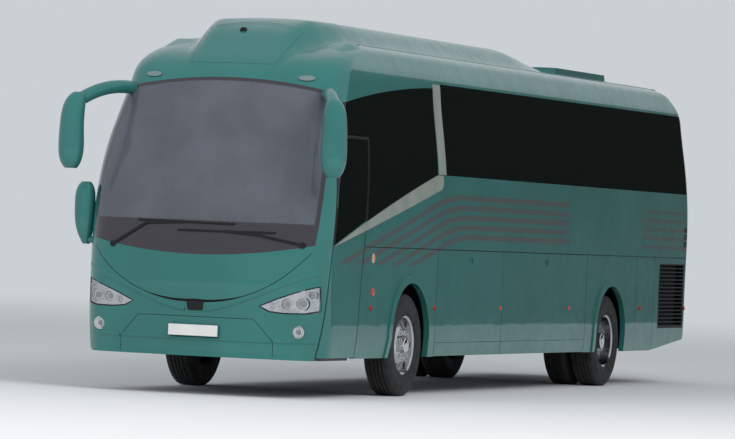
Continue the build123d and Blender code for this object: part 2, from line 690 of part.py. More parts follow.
save(entry_door.part, "entry_door")
save(entry_door_glass.part, "entry_door_glass")
save(entry_door_trim.part, "entry_door_trim")
save(entry_door_arms.part, "entry_door_arms")

# Luggage doors: each leaf hangs on two upright arms joined by a torsion tube
LEAF_LOW, LEAF_HIGH = SKIRT_Z + 5, BELT_Z - PANEL_GAP
BAY_ARM_Y = 1186
BAY_ARM_LOW, BAY_ARM_HIGH = 630, 1180
BAY_ARM_THICK = 18
BAY_ARM_INSET = 70
BAY_PIN_R = 9
BAY_TUBE_R = 14
LATCH_Z = 1400
LATCH_SIZE = (120, 60, 14)
BULKHEAD = 40

for name, rear_x, front_x, tube_rear, tube_front in BAYS:
    inner_rear, inner_front = rear_x + BULKHEAD / 2, front_x - BULKHEAD / 2
    arm_xs = (inner_rear + BAY_ARM_INSET, inner_front - BAY_ARM_INSET)
    with BuildPart() as leaf:
        block(rear_x + PANEL_GAP, front_x - PANEL_GAP, SIDE_Y, OUT_Y, LEAF_LOW, LEAF_HIGH)
        add(outer_body.part, mode=Mode.INTERSECT)
        add(lining_body.part, mode=Mode.SUBTRACT)
        block((rear_x + front_x - LATCH_SIZE[0]) / 2, (rear_x + front_x + LATCH_SIZE[0]) / 2, 1272 - LATCH_SIZE[2],
              OUT_Y, LATCH_Z - LATCH_SIZE[1] / 2, LATCH_Z + LATCH_SIZE[1] / 2, mode=Mode.SUBTRACT)
        for x, turn in zip(arm_xs, (1, -1)):
            lug_x = x + turn * (BAY_ARM_THICK / 2 + 2 + 8)
            block(lug_x - 8, lug_x + 8, BAY_ARM_Y - 20, 1235, BAY_ARM_LOW - 20, BAY_ARM_LOW + 20)
            rod(Plane.YZ, (lug_x - 20, BAY_ARM_Y, BAY_ARM_LOW), 40, BAY_PIN_R + RUN_FIT, mode=Mode.SUBTRACT)
    with BuildPart() as arms:
        rod(Plane.YZ, (tube_rear, BAY_ARM_Y, BAY_ARM_HIGH), tube_front - tube_rear, BAY_TUBE_R)
        for x, turn in zip(arm_xs, (1, -1)):
            with BuildSketch(Plane.YZ.offset(x - BAY_ARM_THICK / 2)) as arm:
                with Locations((BAY_ARM_Y, (BAY_ARM_LOW + BAY_ARM_HIGH) / 2)):
                    SlotCenterToCenter(BAY_ARM_HIGH - BAY_ARM_LOW, 36, rotation=90)
            extrude(arm.sketch, amount=BAY_ARM_THICK)
            pin_x = x if turn > 0 else x - BAY_ARM_THICK / 2 - 20
            rod(Plane.YZ, (pin_x, BAY_ARM_Y, BAY_ARM_LOW), BAY_ARM_THICK / 2 + 20, BAY_PIN_R)
    with BuildPart() as right_leaf:
        mirror(leaf.part, about=Plane.XZ)
    with BuildPart() as right_arms:
        mirror(arms.part, about=Plane.XZ)
    save(leaf.part, "left_" + name + "_luggage_door")
    save(right_leaf.part, "right_" + name + "_luggage_door")
    save(arms.part, "left_" + name + "_luggage_arms")
    save(right_arms.part, "right_" + name + "_luggage_arms")

# Tail: rear wall with its window and lamps, bumper, and the engine lid hung at its top
LID_HALF, LID_LOW, LID_HIGH = 900, 905, 2050
LID_HINGE_X, LID_HINGE_Z, LID_HINGE_R, LID_PIN_R = -6513, 2056, 9, 4
LID_HINGE_YS = (-620, 620)
REAR_PANE_HALF, REAR_PANE_LOW, REAR_PANE_HIGH = 1020, 2330, 3060
# Tail lamps each side: Z, radius
TAIL_LAMPS = [(1010, 48), (1130, 48), (1250, 48), (1370, 40)]
TAIL_LAMP_Y = 1085
BUMPER_SEAM_Z = 900


def rear_block(face, mode=Mode.ADD):
    """Outline in Y and Z through the rear end."""
    extrude(face.moved(Location((-6900, 0, 0))), amount=700, mode=mode)


def rear_rectangle(half, low, high, radius):
    """Rounded rectangle in Y and Z."""
    with BuildSketch(Plane.YZ) as outline:
        with Locations((0, (low + high) / 2)):
            RectangleRounded(2 * half, high - low, radius)
    return outline.sketch


def tail_lamp_rods(mode=Mode.ADD):
    """Round lamps each side through the rear end."""
    for z, radius in TAIL_LAMPS:
        for side in (-1, 1):
            rod(Plane.YZ, (-6700, side * TAIL_LAMP_Y, z), 400, radius, mode=mode)


with BuildPart() as rear_shell:
    block(-FAR, REAR_SEAM_X, -OUT_Y, OUT_Y, 300, ROOF_Z)
    add(outer_body.part, mode=Mode.INTERSECT)
    add(lining_body.part, mode=Mode.SUBTRACT)
    side_block(TAIL_CUT, -OUT_Y, OUT_Y, mode=Mode.SUBTRACT)

with BuildPart() as rear_bumper:
    add(rear_shell.part)
    block(-FAR, 0, -OUT_Y, OUT_Y, 300, BUMPER_SEAM_Z, mode=Mode.INTERSECT)
    block(REAR_PLATE_X, -6470, -PLATE_WIDTH / 2, PLATE_WIDTH / 2, REAR_PLATE_Z - PLATE_HEIGHT / 2,
          REAR_PLATE_Z + PLATE_HEIGHT / 2)

with BuildPart() as rear_window:
    rear_block(rear_rectangle(REAR_PANE_HALF, REAR_PANE_LOW, REAR_PANE_HIGH, 60))
    add(outer_body.part, mode=Mode.INTERSECT)
    add(glass_back.part, mode=Mode.SUBTRACT)

with BuildPart() as tail_lamps:
    tail_lamp_rods()
    add(outer_body.part, mode=Mode.INTERSECT)
    add(lining_body.part, mode=Mode.SUBTRACT)

with BuildPart() as rear_wall:
    add(rear_shell.part)
    block(-FAR, 0, -OUT_Y, OUT_Y, BUMPER_SEAM_Z, ROOF_Z, mode=Mode.INTERSECT)
    rear_block(rear_rectangle(LID_HALF + PANEL_GAP, LID_LOW - PANEL_GAP, LID_HIGH + PANEL_GAP, 40), mode=Mode.SUBTRACT)
    rear_block(rear_rectangle(REAR_PANE_HALF, REAR_PANE_LOW, REAR_PANE_HIGH, 60), mode=Mode.SUBTRACT)
    tail_lamp_rods(mode=Mode.SUBTRACT)
    for y in LID_HINGE_YS:
        block(LID_HINGE_X, LID_HINGE_X + 60, y - 60, y - 22, LID_HINGE_Z, LID_HINGE_Z + 30)
        block(LID_HINGE_X, LID_HINGE_X + 60, y + 22, y + 60, LID_HINGE_Z, LID_HINGE_Z + 30)
        rod(Plane.XZ, (LID_HINGE_X, y + 60, LID_HINGE_Z), 38, LID_HINGE_R)
        rod(Plane.XZ, (LID_HINGE_X, y - 22, LID_HINGE_Z), 38, LID_HINGE_R)
        rod(Plane.XZ, (LID_HINGE_X, y + 60, LID_HINGE_Z), 120, LID_PIN_R)

with BuildPart() as engine_lid:
    rear_block(rear_rectangle(LID_HALF, LID_LOW, LID_HIGH, 40))
    add(outer_body.part, mode=Mode.INTERSECT)
    add(lining_body.part, mode=Mode.SUBTRACT)
    for y in LID_HINGE_YS:
        rod(Plane.XZ, (LID_HINGE_X, y + 20, LID_HINGE_Z), 40, LID_HINGE_R)
        block(LID_HINGE_X - LID_HINGE_R, LID_HINGE_X + 45, y - 20, y + 20, LID_HINGE_Z - 50, LID_HINGE_Z)
        rod(Plane.XZ, (LID_HINGE_X, y + 30, LID_HINGE_Z), 60, LID_PIN_R + RUN_FIT, mode=Mode.SUBTRACT)

save(rear_bumper.part, "rear_bumper")
save(rear_window.part, "rear_window")
save(tail_lamps.part, "tail_lamps")
save(rear_wall.part, "rear_wall")
save(engine_lid.part, "engine_lid")

# Tyres and rims: revolved about the axle line. Twin wheels share one body.
TYRE_R, TYRE_HALF = 522, 147
RIM_R, RIM_HALF = 288, 125
FRONT_WHEEL_Y = 1090
REAR_WHEEL_Y, TWIN_SPACE = 1090, 330
# Tyre section: radius, offset from the middle
TYRE_SECTION = [(RIM_R, -110), (RIM_R + 14, -110), (RIM_R + 15, -126), (400, -TYRE_HALF), (488, -137),
                (TYRE_R, -102), (TYRE_R, 102), (488, 137), (400, TYRE_HALF), (RIM_R + 15, 126), (RIM_R + 14, 110),
                (RIM_R, 110)]
# Front rim section: radius, outward offset; the disc bulges out to the hub
FRONT_RIM = [(0, -30), (0, 150), (78, 145), (88, 105), (170, 100), (215, 62), (250, 35), (272, 30), (278, 112),
             (RIM_R + 12, 124), (RIM_R + 12, 112), (RIM_R, 112), (RIM_R, -112), (RIM_R + 12, -112), (RIM_R + 12, -124),
             (278, -112), (262, 10), (240, 15), (205, 38), (160, 74), (100, 78), (90, -30)]
# Rear rim section: deep dish, hub standing out in its middle
REAR_RIM = [(0, -60), (0, 96), (92, 92), (100, -20), (190, -52), (225, -92), (272, -98), (278, 112),
            (RIM_R + 12, 124), (RIM_R + 12, 112), (RIM_R, 112), (RIM_R, -112), (RIM_R + 12, -112), (RIM_R + 12, -124),
            (278, -116), (225, -112), (180, -72), (110, -60)]
HAND_HOLES = 10
HAND_HOLE_PCD_R, HAND_HOLE_R = 218, 24


def turned(section, x, y, side):
    """Revolve a section of radius and outward offset about the axle line at X and Y."""
    with BuildSketch(Plane.YZ.offset(x)) as outline:
        with BuildLine():
            Polyline(*[(y + side * out, TYRE_R + radius) for radius, out in section], close=True)
        make_face()
    revolve(outline.sketch, axis=Axis((x, y, TYRE_R), (0, 1, 0)))


def hand_holes(x, y):
    """Ring of round holes through a rim disc."""
    for i in range(HAND_HOLES):
        turn = 2 * pi * i / HAND_HOLES
        centre = (x + HAND_HOLE_PCD_R * cos(turn), y + 240, TYRE_R + HAND_HOLE_PCD_R * sin(turn))
        rod(Plane.XZ, centre, 480, HAND_HOLE_R, mode=Mode.SUBTRACT)


with BuildPart() as front_tyre:
    turned(TYRE_SECTION, FRONT_AXLE_X, FRONT_WHEEL_Y, 1)

with BuildPart() as front_rim:
    turned(FRONT_RIM, FRONT_AXLE_X, FRONT_WHEEL_Y, 1)
    hand_holes(FRONT_AXLE_X, FRONT_WHEEL_Y)

with BuildPart() as rear_tyres:
    turned(TYRE_SECTION, REAR_AXLE_X, REAR_WHEEL_Y, 1)
    turned(TYRE_SECTION, REAR_AXLE_X, REAR_WHEEL_Y - TWIN_SPACE, 1)

with BuildPart() as rear_rims:
    turned(REAR_RIM, REAR_AXLE_X, REAR_WHEEL_Y, 1)
    turned(REAR_RIM, REAR_AXLE_X, REAR_WHEEL_Y - TWIN_SPACE, -1)
    hand_holes(REAR_AXLE_X, REAR_WHEEL_Y)
    with BuildSketch(Plane.XZ.offset(-REAR_WHEEL_Y + 60)) as spacer:
        with Locations((REAR_AXLE_X, TYRE_R)):
            Circle(180)
    extrude(spacer.sketch, amount=TWIN_SPACE - 120)

for solid, name in ((front_tyre, "front_tyre"), (front_rim, "front_rim"), (rear_tyres, "rear_tyres"),
                    (rear_rims, "rear_rims")):
    with BuildPart() as right_wheel:
        mirror(solid.part, about=Plane.XZ)
    save(solid.part, "left_" + name)
    save(right_wheel.part, "right_" + name)

# Front axle beam with a knuckle and a kingpin at each end
KINGPIN_Y = 915
KINGPIN_R = 24
BEAM_Z = 440
BEAM_HALF_DEPTH = 55
BEAM_END = 42
BEAM_FLAT = 130
KNUCKLE_GAP = 1
HUB_FACE_Y = FRONT_WHEEL_Y - 30 - SEAT_GAP
SPRING_TOP = 660 - SEAT_GAP

with BuildPart() as front_axle:
    with BuildSketch(Plane.YZ.offset(FRONT_AXLE_X - BEAM_HALF_DEPTH)) as beam:
        with BuildLine():
            Polyline((-KINGPIN_Y - BEAM_END, TYRE_R - 60), (-KINGPIN_Y + BEAM_FLAT, TYRE_R - 60), (-620, BEAM_Z - 60),
                     (620, BEAM_Z - 60), (KINGPIN_Y - BEAM_FLAT, TYRE_R - 60), (KINGPIN_Y + BEAM_END, TYRE_R - 60),
                     (KINGPIN_Y + BEAM_END, TYRE_R + 60), (KINGPIN_Y - 80, TYRE_R + 60), (590, BEAM_Z + 50),
                     (-590, BEAM_Z + 50), (-KINGPIN_Y + 80, TYRE_R + 60), (-KINGPIN_Y - BEAM_END, TYRE_R + 60),
                     close=True)
        make_face()
    extrude(beam.sketch, amount=2 * BEAM_HALF_DEPTH)
    block(FRONT_AXLE_X - 80, FRONT_AXLE_X - 18, -560, 560, BEAM_Z - 30, BEAM_Z + 22, mode=Mode.SUBTRACT)
    block(FRONT_AXLE_X + 18, FRONT_AXLE_X + 80, -560, 560, BEAM_Z - 30, BEAM_Z + 22, mode=Mode.SUBTRACT)
    for side in (-1, 1):
        rod(Plane.XY, (FRONT_AXLE_X, side * KINGPIN_Y, 300), 500, KINGPIN_R + RUN_FIT, mode=Mode.SUBTRACT)
        rod(Plane.XY, (FRONT_AXLE_X, side * 470, BEAM_Z + 45), SPRING_TOP - BEAM_Z - 45, 110)

with BuildPart() as left_knuckle:
    rod(Plane.XY, (FRONT_AXLE_X, KINGPIN_Y, TYRE_R - 100), 200, KINGPIN_R)
    for low in (TYRE_R - 60 - KNUCKLE_GAP - 35, TYRE_R + 60 + KNUCKLE_GAP):
        block(FRONT_AXLE_X - 50, FRONT_AXLE_X + 50, KINGPIN_Y - 50, KINGPIN_Y + 105, low, low + 35)
    block(FRONT_AXLE_X - 60, FRONT_AXLE_X + 60, KINGPIN_Y + 75, KINGPIN_Y + 105, TYRE_R - 96, TYRE_R + 96)
    rod(Plane.XZ, (FRONT_AXLE_X, HUB_FACE_Y, TYRE_R), HUB_FACE_Y - KINGPIN_Y - 90, 82)
    block(FRONT_AXLE_X - 260, FRONT_AXLE_X - 40, KINGPIN_Y - 45, KINGPIN_Y - 5, TYRE_R - 96, TYRE_R - 62)

with BuildPart() as right_knuckle:
    mirror(left_knuckle.part, about=Plane.XZ)

save(front_axle.part, "front_axle")
save(left_knuckle.part, "left_knuckle")
save(right_knuckle.part, "right_knuckle")

# Rear axle: tube with the drive housing, air springs above
REAR_TUBE_Y = REAR_WHEEL_Y - TWIN_SPACE - 96 - SEAT_GAP
PINION_X = REAR_AXLE_X - 420

with BuildPart() as rear_axle:
    rod(Plane.XZ, (REAR_AXLE_X, REAR_TUBE_Y, TYRE_R), 2 * REAR_TUBE_Y, 78)
    with Locations((REAR_AXLE_X, 0, TYRE_R)):
        Sphere(200)
    rod(Plane.YZ, (PINION_X, 0, TYRE_R), 300, 95)
    for x in (REAR_AXLE_X - 330, REAR_AXLE_X + 330):
        for side in (-1, 1):
            rod(Plane.XY, (x, side * 470, 420), SPRING_TOP - 420, 120)
            block(min(x, REAR_AXLE_X), max(x, REAR_AXLE_X), side * 470 - 40, side * 470 + 40, 380, 440)
            block(REAR_AXLE_X - 60, REAR_AXLE_X + 60, side * 470 - 60, side * 470 + 60, 400, 560)

save(rear_axle.part, "rear_axle")

# Engine and gearbox, one block hung between the rails, with the shaft to the rear axle
RAIL_Y, RAIL_HALF, RAIL_LOW, RAIL_HIGH = 430, 40, 660, 820
ENGINE_HALF = RAIL_Y - RAIL_HALF - SEAT_GAP
GEARBOX_FRONT_X = -4500
SHAFT_Z, SHAFT_R = 600, 45

with BuildPart() as engine:
    block(-6150, -5150, -ENGINE_HALF, ENGINE_HALF, 560, 1330)
    block(-5150, GEARBOX_FRONT_X, -260, 260, 560, 1000)
    rod(Plane.YZ, (GEARBOX_FRONT_X, 0, SHAFT_Z), PINION_X - GEARBOX_FRONT_X - SEAT_GAP, SHAFT_R)

save(engine.part, "engine")

# Saloon floor, cab floor, stairs and the belt rail that carries the sides
SALOON_FRONT_X = 4700
CAB_REAR_X = 4520
CAB_FRONT_X = 6150
STAIR_REAR_X, STAIR_FRONT_X = 5290, 6010
# Entry stairs: inner Y, outer Y, tread height
STAIRS = [(900, STAIR_Y, 405), (620, 900, 700), (330, 620, CAB_FLOOR_TOP)]
BAY_CLEAR = 8

BAY_REAR_X, BAY_FRONT_X = BAYS[-1][1] - 2, BAYS[0][2] + 2
FLOOR_LOW, CAB_FLOOR_LOW = FLOOR_TOP - FLOOR_THICK, CAB_FLOOR_TOP - FLOOR_THICK
inside = inside_body.part

floor_plates = [
    plate(-6300, BAY_REAR_X, -OUT_Y, OUT_Y, FLOOR_LOW, FLOOR_TOP, inside),
    plate(BAY_REAR_X, BAY_FRONT_X, -1213, 1213, FLOOR_LOW, FLOOR_TOP),
    plate(BAY_FRONT_X, SALOON_FRONT_X, -OUT_Y, OUT_Y, FLOOR_LOW, FLOOR_TOP, inside),
    plate(SALOON_FRONT_X - FLOOR_THICK, SALOON_FRONT_X, -OUT_Y, OUT_Y, CAB_FLOOR_LOW, FLOOR_LOW, inside),
    plate(SALOON_FRONT_X, CAB_FRONT_X, -OUT_Y, 330, CAB_FLOOR_LOW, CAB_FLOOR_TOP, inside),
    plate(SALOON_FRONT_X, STAIR_REAR_X, 330, OUT_Y, CAB_FLOOR_LOW, CAB_FLOOR_TOP, inside),
    plate(SALOON_FRONT_X, SALOON_FRONT_X + 600, -270, 270, CAB_FLOOR_TOP, CAB_FLOOR_TOP + 155),
    plate(SALOON_FRONT_X, SALOON_FRONT_X + 300, -270, 270, CAB_FLOOR_TOP + 155, CAB_FLOOR_TOP + 310),
    plate(STAIR_REAR_X - 40, STAIR_REAR_X, 330, STAIR_Y, 380, CAB_FLOOR_LOW),
]
door_post_hole = (Plane.XY, (DOOR_POST_X, DOOR_POST_Y, 370), 60, 12 + RUN_FIT)
for low_y, high_y, tread in STAIRS:
    holes = [door_post_hole] if high_y > DOOR_POST_Y > low_y else []
    floor_plates.append(plate(STAIR_REAR_X, STAIR_FRONT_X, low_y, high_y, 380, tread, inside, holes))
for side in (-1, 1):
    y_low, y_high = sorted((side * 1150, side * OUT_Y))
    y_near, y_far = sorted((side * 1150, side * 1213))
    for x_from, x_to in ((-6300, BAY_REAR_X), (BAY_FRONT_X, SALOON_FRONT_X)):
        floor_plates.append(plate(x_from, x_to, y_low, y_high, FLOOR_TOP, BELT_Z + 90, inside))
    floor_plates.append(plate(BAY_REAR_X, BAY_FRONT_X, y_near, y_far, FLOOR_TOP, BELT_Z + 1))
    floor_plates.append(plate(BAY_REAR_X, BAY_FRONT_X, y_low, y_high, BELT_Z + 1, BELT_Z + 90, inside))
cabin_floor = welded(floor_plates)

save(cabin_floor, "cabin_floor")

# Underframe: two rails, bulkheads between the bays and wheel spaces, bay floor, tank and towing eyes
BAY_FLOOR_LOW = 420
TAIL_X = -6330
TOW_R, TOW_THICK, TOW_HALF = 20, 40, 45
TOW_FRONT_X, TOW_FRONT_LOW = 6250, 500
TOW_REAR_X, TOW_REAR_LOW = -6385, 620
JACK_Z, JACK_Y, JACK_XS = 400, 900, (2860, -2260)
# Cross walls: rear X, front X, lower Z, upper Z
BULKHEADS = [
    (5180, 5220, 420, CAB_FLOOR_LOW),
    (4480, 4520, 420, FLOOR_LOW),
    (BAY_FRONT_X, BAY_FRONT_X + BULKHEAD, 420, FLOOR_LOW),
    (BAY_REAR_X - BULKHEAD, BAY_REAR_X, 420, FLOOR_LOW),
    (-4240, -4200, 420, FLOOR_LOW),
    (TAIL_X, TAIL_X + BULKHEAD, 620, FLOOR_LOW),
]
bay_tube_holes = [(Plane.YZ, (BAYS[-1][3] - 1, side * BAY_ARM_Y, BAY_ARM_HIGH), BAYS[0][4] - BAYS[-1][3] + 2,
                   BAY_TUBE_R + RUN_FIT) for side in (-1, 1)]
shaft_hole = (Plane.YZ, (-4300, 0, SHAFT_Z), 160, SHAFT_R + 25)

frame_plates = []
for low_x, high_x, low_z, high_z in BULKHEADS:
    holes = [shaft_hole] if low_x == -4240 else []
    if BAY_REAR_X in (low_x, high_x) or BAY_FRONT_X in (low_x, high_x):
        holes = bay_tube_holes
    frame_plates.append(plate(low_x, high_x, -OUT_Y, OUT_Y, low_z, high_z, inside, holes))
frame_plates.append(plate(BAY_REAR_X, BAY_FRONT_X, -1202, 1202, BAY_FLOOR_LOW, BAY_FLOOR_TOP))
with BuildPart() as bay_divider:
    block(BAYS[0][1] - BULKHEAD / 2, BAYS[0][1] + BULKHEAD / 2, -1200, 1200, BAY_FLOOR_TOP, FLOOR_LOW)
    block(BAYS[0][1] - BULKHEAD / 2, BAYS[0][1] + BULKHEAD / 2, -1217, 1217, BAY_ARM_HIGH - 80, BAY_ARM_HIGH + 80)
    for hole in bay_tube_holes:
        rod(*hole, mode=Mode.SUBTRACT)
frame_plates.append(bay_divider.part)
for side in (-1, 1):
    y_low, y_high = side * RAIL_Y - RAIL_HALF, side * RAIL_Y + RAIL_HALF
    for x_from, x_to in ((TAIL_X + BULKHEAD, -4240), (-4200, BAY_REAR_X - BULKHEAD), (BAY_FRONT_X + BULKHEAD, 4480),
                         (4520, 5180)):
        frame_plates.append(plate(x_from, x_to, y_low, y_high, RAIL_LOW, RAIL_HIGH))
frame_plates += [
    plate(5220, 6120, -520, -440, 560, 720),
    plate(5220, 6120, 240, 320, 560, 720),
    plate(6120, 6180, -900, 900, 500, 720, inside),
    plate(6180, TOW_FRONT_X + 50, -TOW_HALF, TOW_HALF, TOW_FRONT_LOW, TOW_FRONT_LOW + TOW_THICK, None,
          [(Plane.XY, (TOW_FRONT_X, 0, TOW_FRONT_LOW - 10), TOW_THICK + 20, TOW_R)]),
    plate(TOW_REAR_X - 45, TAIL_X, -TOW_HALF, TOW_HALF, TOW_REAR_LOW, TOW_REAR_LOW + TOW_THICK, None,
          [(Plane.XY, (TOW_REAR_X, 0, TOW_REAR_LOW - 10), TOW_THICK + 20, TOW_R)]),
]
for x in JACK_XS:
    for side in (-1, 1):
        frame_plates.append(plate(x - 60, x + 60, side * JACK_Y - 60, side * JACK_Y + 60, JACK_Z, BAY_FLOOR_LOW))
underframe = welded(frame_plates)

save(underframe, "underframe")

# Engine side grilles: slats in a frame
GRILLE_FRAME = 35
GRILLE_SLATS = 16

with BuildPart() as left_grille:
    block(GRILLE[0], GRILLE[1], SIDE_Y, OUT_Y, GRILLE[2], GRILLE[3])
    add(outer_body.part, mode=Mode.INTERSECT)
    add(lining_body.part, mode=Mode.SUBTRACT)
    pitch = (GRILLE[3] - GRILLE[2] - GRILLE_FRAME) / GRILLE_SLATS
    for i in range(GRILLE_SLATS):
        low = GRILLE[2] + GRILLE_FRAME + i * pitch
        block(GRILLE[0] + GRILLE_FRAME, GRILLE[1] - GRILLE_FRAME, SIDE_Y, OUT_Y, low, low + pitch - 14,
              mode=Mode.SUBTRACT)

with BuildPart() as side_grilles:
    add(left_grille.part)
    mirror(left_grille.part, about=Plane.XZ)

save(side_grilles.part, "side_grilles")

# Small side lamps, front roof lamps
MARKER_Z, MARKER_R = 902, 26
MARKER_XS = (4880, 2950, -4400, -6255)
ROOF_LAMP_Y, ROOF_LAMP_Z = 813, 3144

with BuildPart() as marker_lamps:
    for x in MARKER_XS:
        rod(Plane.XZ, (x, OUT_Y, MARKER_Z), 2 * OUT_Y, MARKER_R)
    for side in (-1, 1):
        with BuildSketch(Plane.YZ.offset(5600)) as oval:
            with Locations((side * ROOF_LAMP_Y, ROOF_LAMP_Z)):
                Ellipse(85, 26)
        extrude(oval.sketch, amount=300)
    add(lip_body.part, mode=Mode.INTERSECT)
    add(trim_seat.part, mode=Mode.SUBTRACT)

save(marker_lamps.part, "marker_lamps")

# Mirrors: a head on a swept arm from each upper corner of the windscreen, its glass behind
MIRROR_GLASS_X = 6335
MIRROR_GLASS_Y, MIRROR_GLASS_Z = 1380, 2490
MIRROR_GLASS_WIDTH, MIRROR_GLASS_HEIGHT, MIRROR_GLASS_THICK = 170, 500, 4
# Level ovals of a head: X, Y, Z, width along Y, depth along X
MIRROR_HEAD = [
    (6385, 1378, 2165, 120, 110),
    (6390, 1380, 2235, 210, 190),
    (6392, 1382, 2560, 246, 232),
    (6384, 1376, 2730, 232, 218),
    (6364, 1360, 2850, 192, 180),
    (6340, 1342, 2918, 110, 100),
]
# Arm from inside the roof cap to the head, and its radius
MIRROR_ARM = [(5640, 1000, 2985), (6070, 1205, 2962), (6352, 1356, 2820)]
MIRROR_ARM_R = 66
# Lower mirror, on the right front corner only, and its foot
LOW_MIRROR = [
    (6018, 1336, 1425, 70, 70),
    (6020, 1350, 1500, 130, 120),
    (6020, 1362, 1640, 196, 160),
    (6020, 1366, 1850, 212, 176),
    (6020, 1364, 1980, 176, 150),
    (6018, 1360, 2042, 90, 80),
]
LOW_MIRROR_FOOT, LOW_MIRROR_FOOT_R = (6018, -1180, 1470), 34
LOW_GLASS_X, LOW_GLASS_Y, LOW_GLASS_Z = 5975, -1364, 1760
LOW_GLASS_WIDTH, LOW_GLASS_HEIGHT = 150, 360


def stacked_ovals(rows, side=1):
    """Loft through level ovals."""
    ovals = []
    for x, y, z, width, depth in rows:
        with BuildSketch(Plane.XY.offset(z)) as oval:
            with Locations((x, side * y)):
                Ellipse(depth / 2, width / 2)
        ovals.append(oval.sketch)
    loft(ovals)


def mirror_glass(x, y, z, width, height):
    """Flat glass on the back of one mirror head."""
    with BuildSketch(Plane.YZ.offset(x - SEAT_GAP)) as pane:
        with Locations((y, z)):
            RectangleRounded(width, height, 60)
    extrude(pane.sketch, amount=-MIRROR_GLASS_THICK)


with BuildPart() as left_mirror:
    stacked_ovals(MIRROR_HEAD)
    block(6100, MIRROR_GLASS_X, 1240, 1600, MIRROR_GLASS_Z - 360, MIRROR_GLASS_Z + 360, mode=Mode.SUBTRACT)
    with BuildLine() as route:
        ThreePointArc(*MIRROR_ARM)
    with BuildSketch(Plane(origin=route.line @ 0, z_dir=route.line % 0)) as ring:
        Circle(MIRROR_ARM_R)
    sweep(ring.sketch, path=route.line)
    add(trim_seat.part, mode=Mode.SUBTRACT)

with BuildPart() as low_mirror:
    stacked_ovals(LOW_MIRROR, -1)
    block(5800, LOW_GLASS_X, -1600, -1200, 1300, 2100, mode=Mode.SUBTRACT)
    rod(Plane.XZ, LOW_MIRROR_FOOT, 170, LOW_MIRROR_FOOT_R)
    add(trim_seat.part, mode=Mode.SUBTRACT)

with BuildPart() as mirror_housings:
    add(left_mirror.part)
    mirror(left_mirror.part, about=Plane.XZ)
    add(low_mirror.part)

with BuildPart() as mirror_glasses:
    for side in (-1, 1):
        mirror_glass(MIRROR_GLASS_X, side * MIRROR_GLASS_Y, MIRROR_GLASS_Z, MIRROR_GLASS_WIDTH, MIRROR_GLASS_HEIGHT)
    mirror_glass(LOW_GLASS_X, LOW_GLASS_Y, LOW_GLASS_Z, LOW_GLASS_WIDTH, LOW_GLASS_HEIGHT)

save(mirror_housings.part, "mirror_housings")
save(mirror_glasses.part, "mirror_glasses")

# Wipers parked across the foot of the windscreen: arm and blade ends in Y and Z
WIPERS = [
    ((-916, 1444), (-555, 1664), (-647, 1690), (367, 1680)),
    ((1060, 1500), (619, 1583), (785, 1609), (-205, 1604)),
]
WIPER_ARM, WIPER_BLADE, WIPER_PIVOT_R = 26, 20, 30


def wiper_bar(start, end, width):
    """Bar seen from the front, between two points in Y and Z."""
    length = sqrt((end[0] - start[0]) ** 2 + (end[1] - start[1]) ** 2)
    turn = degrees(atan2(end[1] - start[1], end[0] - start[0]))
    with BuildSketch(Plane.YZ.offset(5900)) as bar:
        with Locations(Location(((start[0] + end[0]) / 2, (start[1] + end[1]) / 2, 0), (0, 0, turn))):
            SlotCenterToCenter(length, width)
    extrude(bar.sketch, amount=700)


with BuildPart() as wipers:
    for pivot, elbow, blade_start, blade_end in WIPERS:
        rod(Plane.YZ, (5900, *pivot), 700, WIPER_PIVOT_R)
        wiper_bar(pivot, elbow, WIPER_ARM)
        wiper_bar(elbow, ((blade_start[0] + blade_end[0]) / 2, (blade_start[1] + blade_end[1]) / 2), WIPER_ARM)
        wiper_bar(blade_start, blade_end, WIPER_BLADE)
    add(lip_body.part, mode=Mode.INTERSECT)
    add(trim_seat.part, mode=Mode.SUBTRACT)

save(wipers.part, "wipers")

# Low hatch on the rear of the roof
HATCH_REAR_X, HATCH_FRONT_X, HATCH_HALF, HATCH_TOP = -5230, -3130, 520, 3662

with BuildPart() as roof_hatch:
    with BuildSketch(Plane.XY.offset(3500)) as hatch:
        with Locations(((HATCH_REAR_X + HATCH_FRONT_X) / 2, 0)):
            RectangleRounded(HATCH_FRONT_X - HATCH_REAR_X, 2 * HATCH_HALF, 120)
    extrude(hatch.sketch, amount=HATCH_TOP - 3500, taper=8)
    add(trim_seat.part, mode=Mode.SUBTRACT)
    add(crown.part.moved(Location((0, 0, SEAT_GAP))), mode=Mode.SUBTRACT)

save(roof_hatch.part, "roof_hatch")

# Driver's place and passenger seats
SEAT_PITCH, SEAT_ROWS, FIRST_SEAT_X = 760, 13, 4150
SEAT_INNER_Y, SEAT_OUTER_Y = 285, 1130
# Seat in side view from its rear foot: X, Z above the floor
SEAT_PROFILE = [(60, 0), (300, 0), (320, 330), (470, 360), (480, 440), (90, 450), (-130, 1130), (-200, 1120),
                (-20, 330), (60, 330)]


def seat(x, y_low, y_high, floor_z):
    """Seat with its back, through from one Y to another."""
    side_block([(x + dx, floor_z + dz) for dx, dz in SEAT_PROFILE], y_low, y_high)


with BuildPart() as seats:
    for row in range(SEAT_ROWS):
        for side in (-1, 1):
            y_low, y_high = sorted((side * SEAT_INNER_Y, side * SEAT_OUTER_Y))
            seat(FIRST_SEAT_X - row * SEAT_PITCH, y_low, y_high, FLOOR_TOP)
    seat(FIRST_SEAT_X - SEAT_ROWS * SEAT_PITCH - 100, -SEAT_OUTER_Y, SEAT_OUTER_Y, FLOOR_TOP)
    seat(5080, -950, -450, CAB_FLOOR_TOP)

save(seats.part, "seats")

with BuildPart() as dashboard:
    side_block([(5700, 1480), (5760, 1560), (6000, 1500), (6400, 1400), (6400, 1000), (5950, 1000), (5900, 1250)],
               -1150, 300)
    add(inside_body.part, mode=Mode.INTERSECT)

save(dashboard.part, "dashboard")

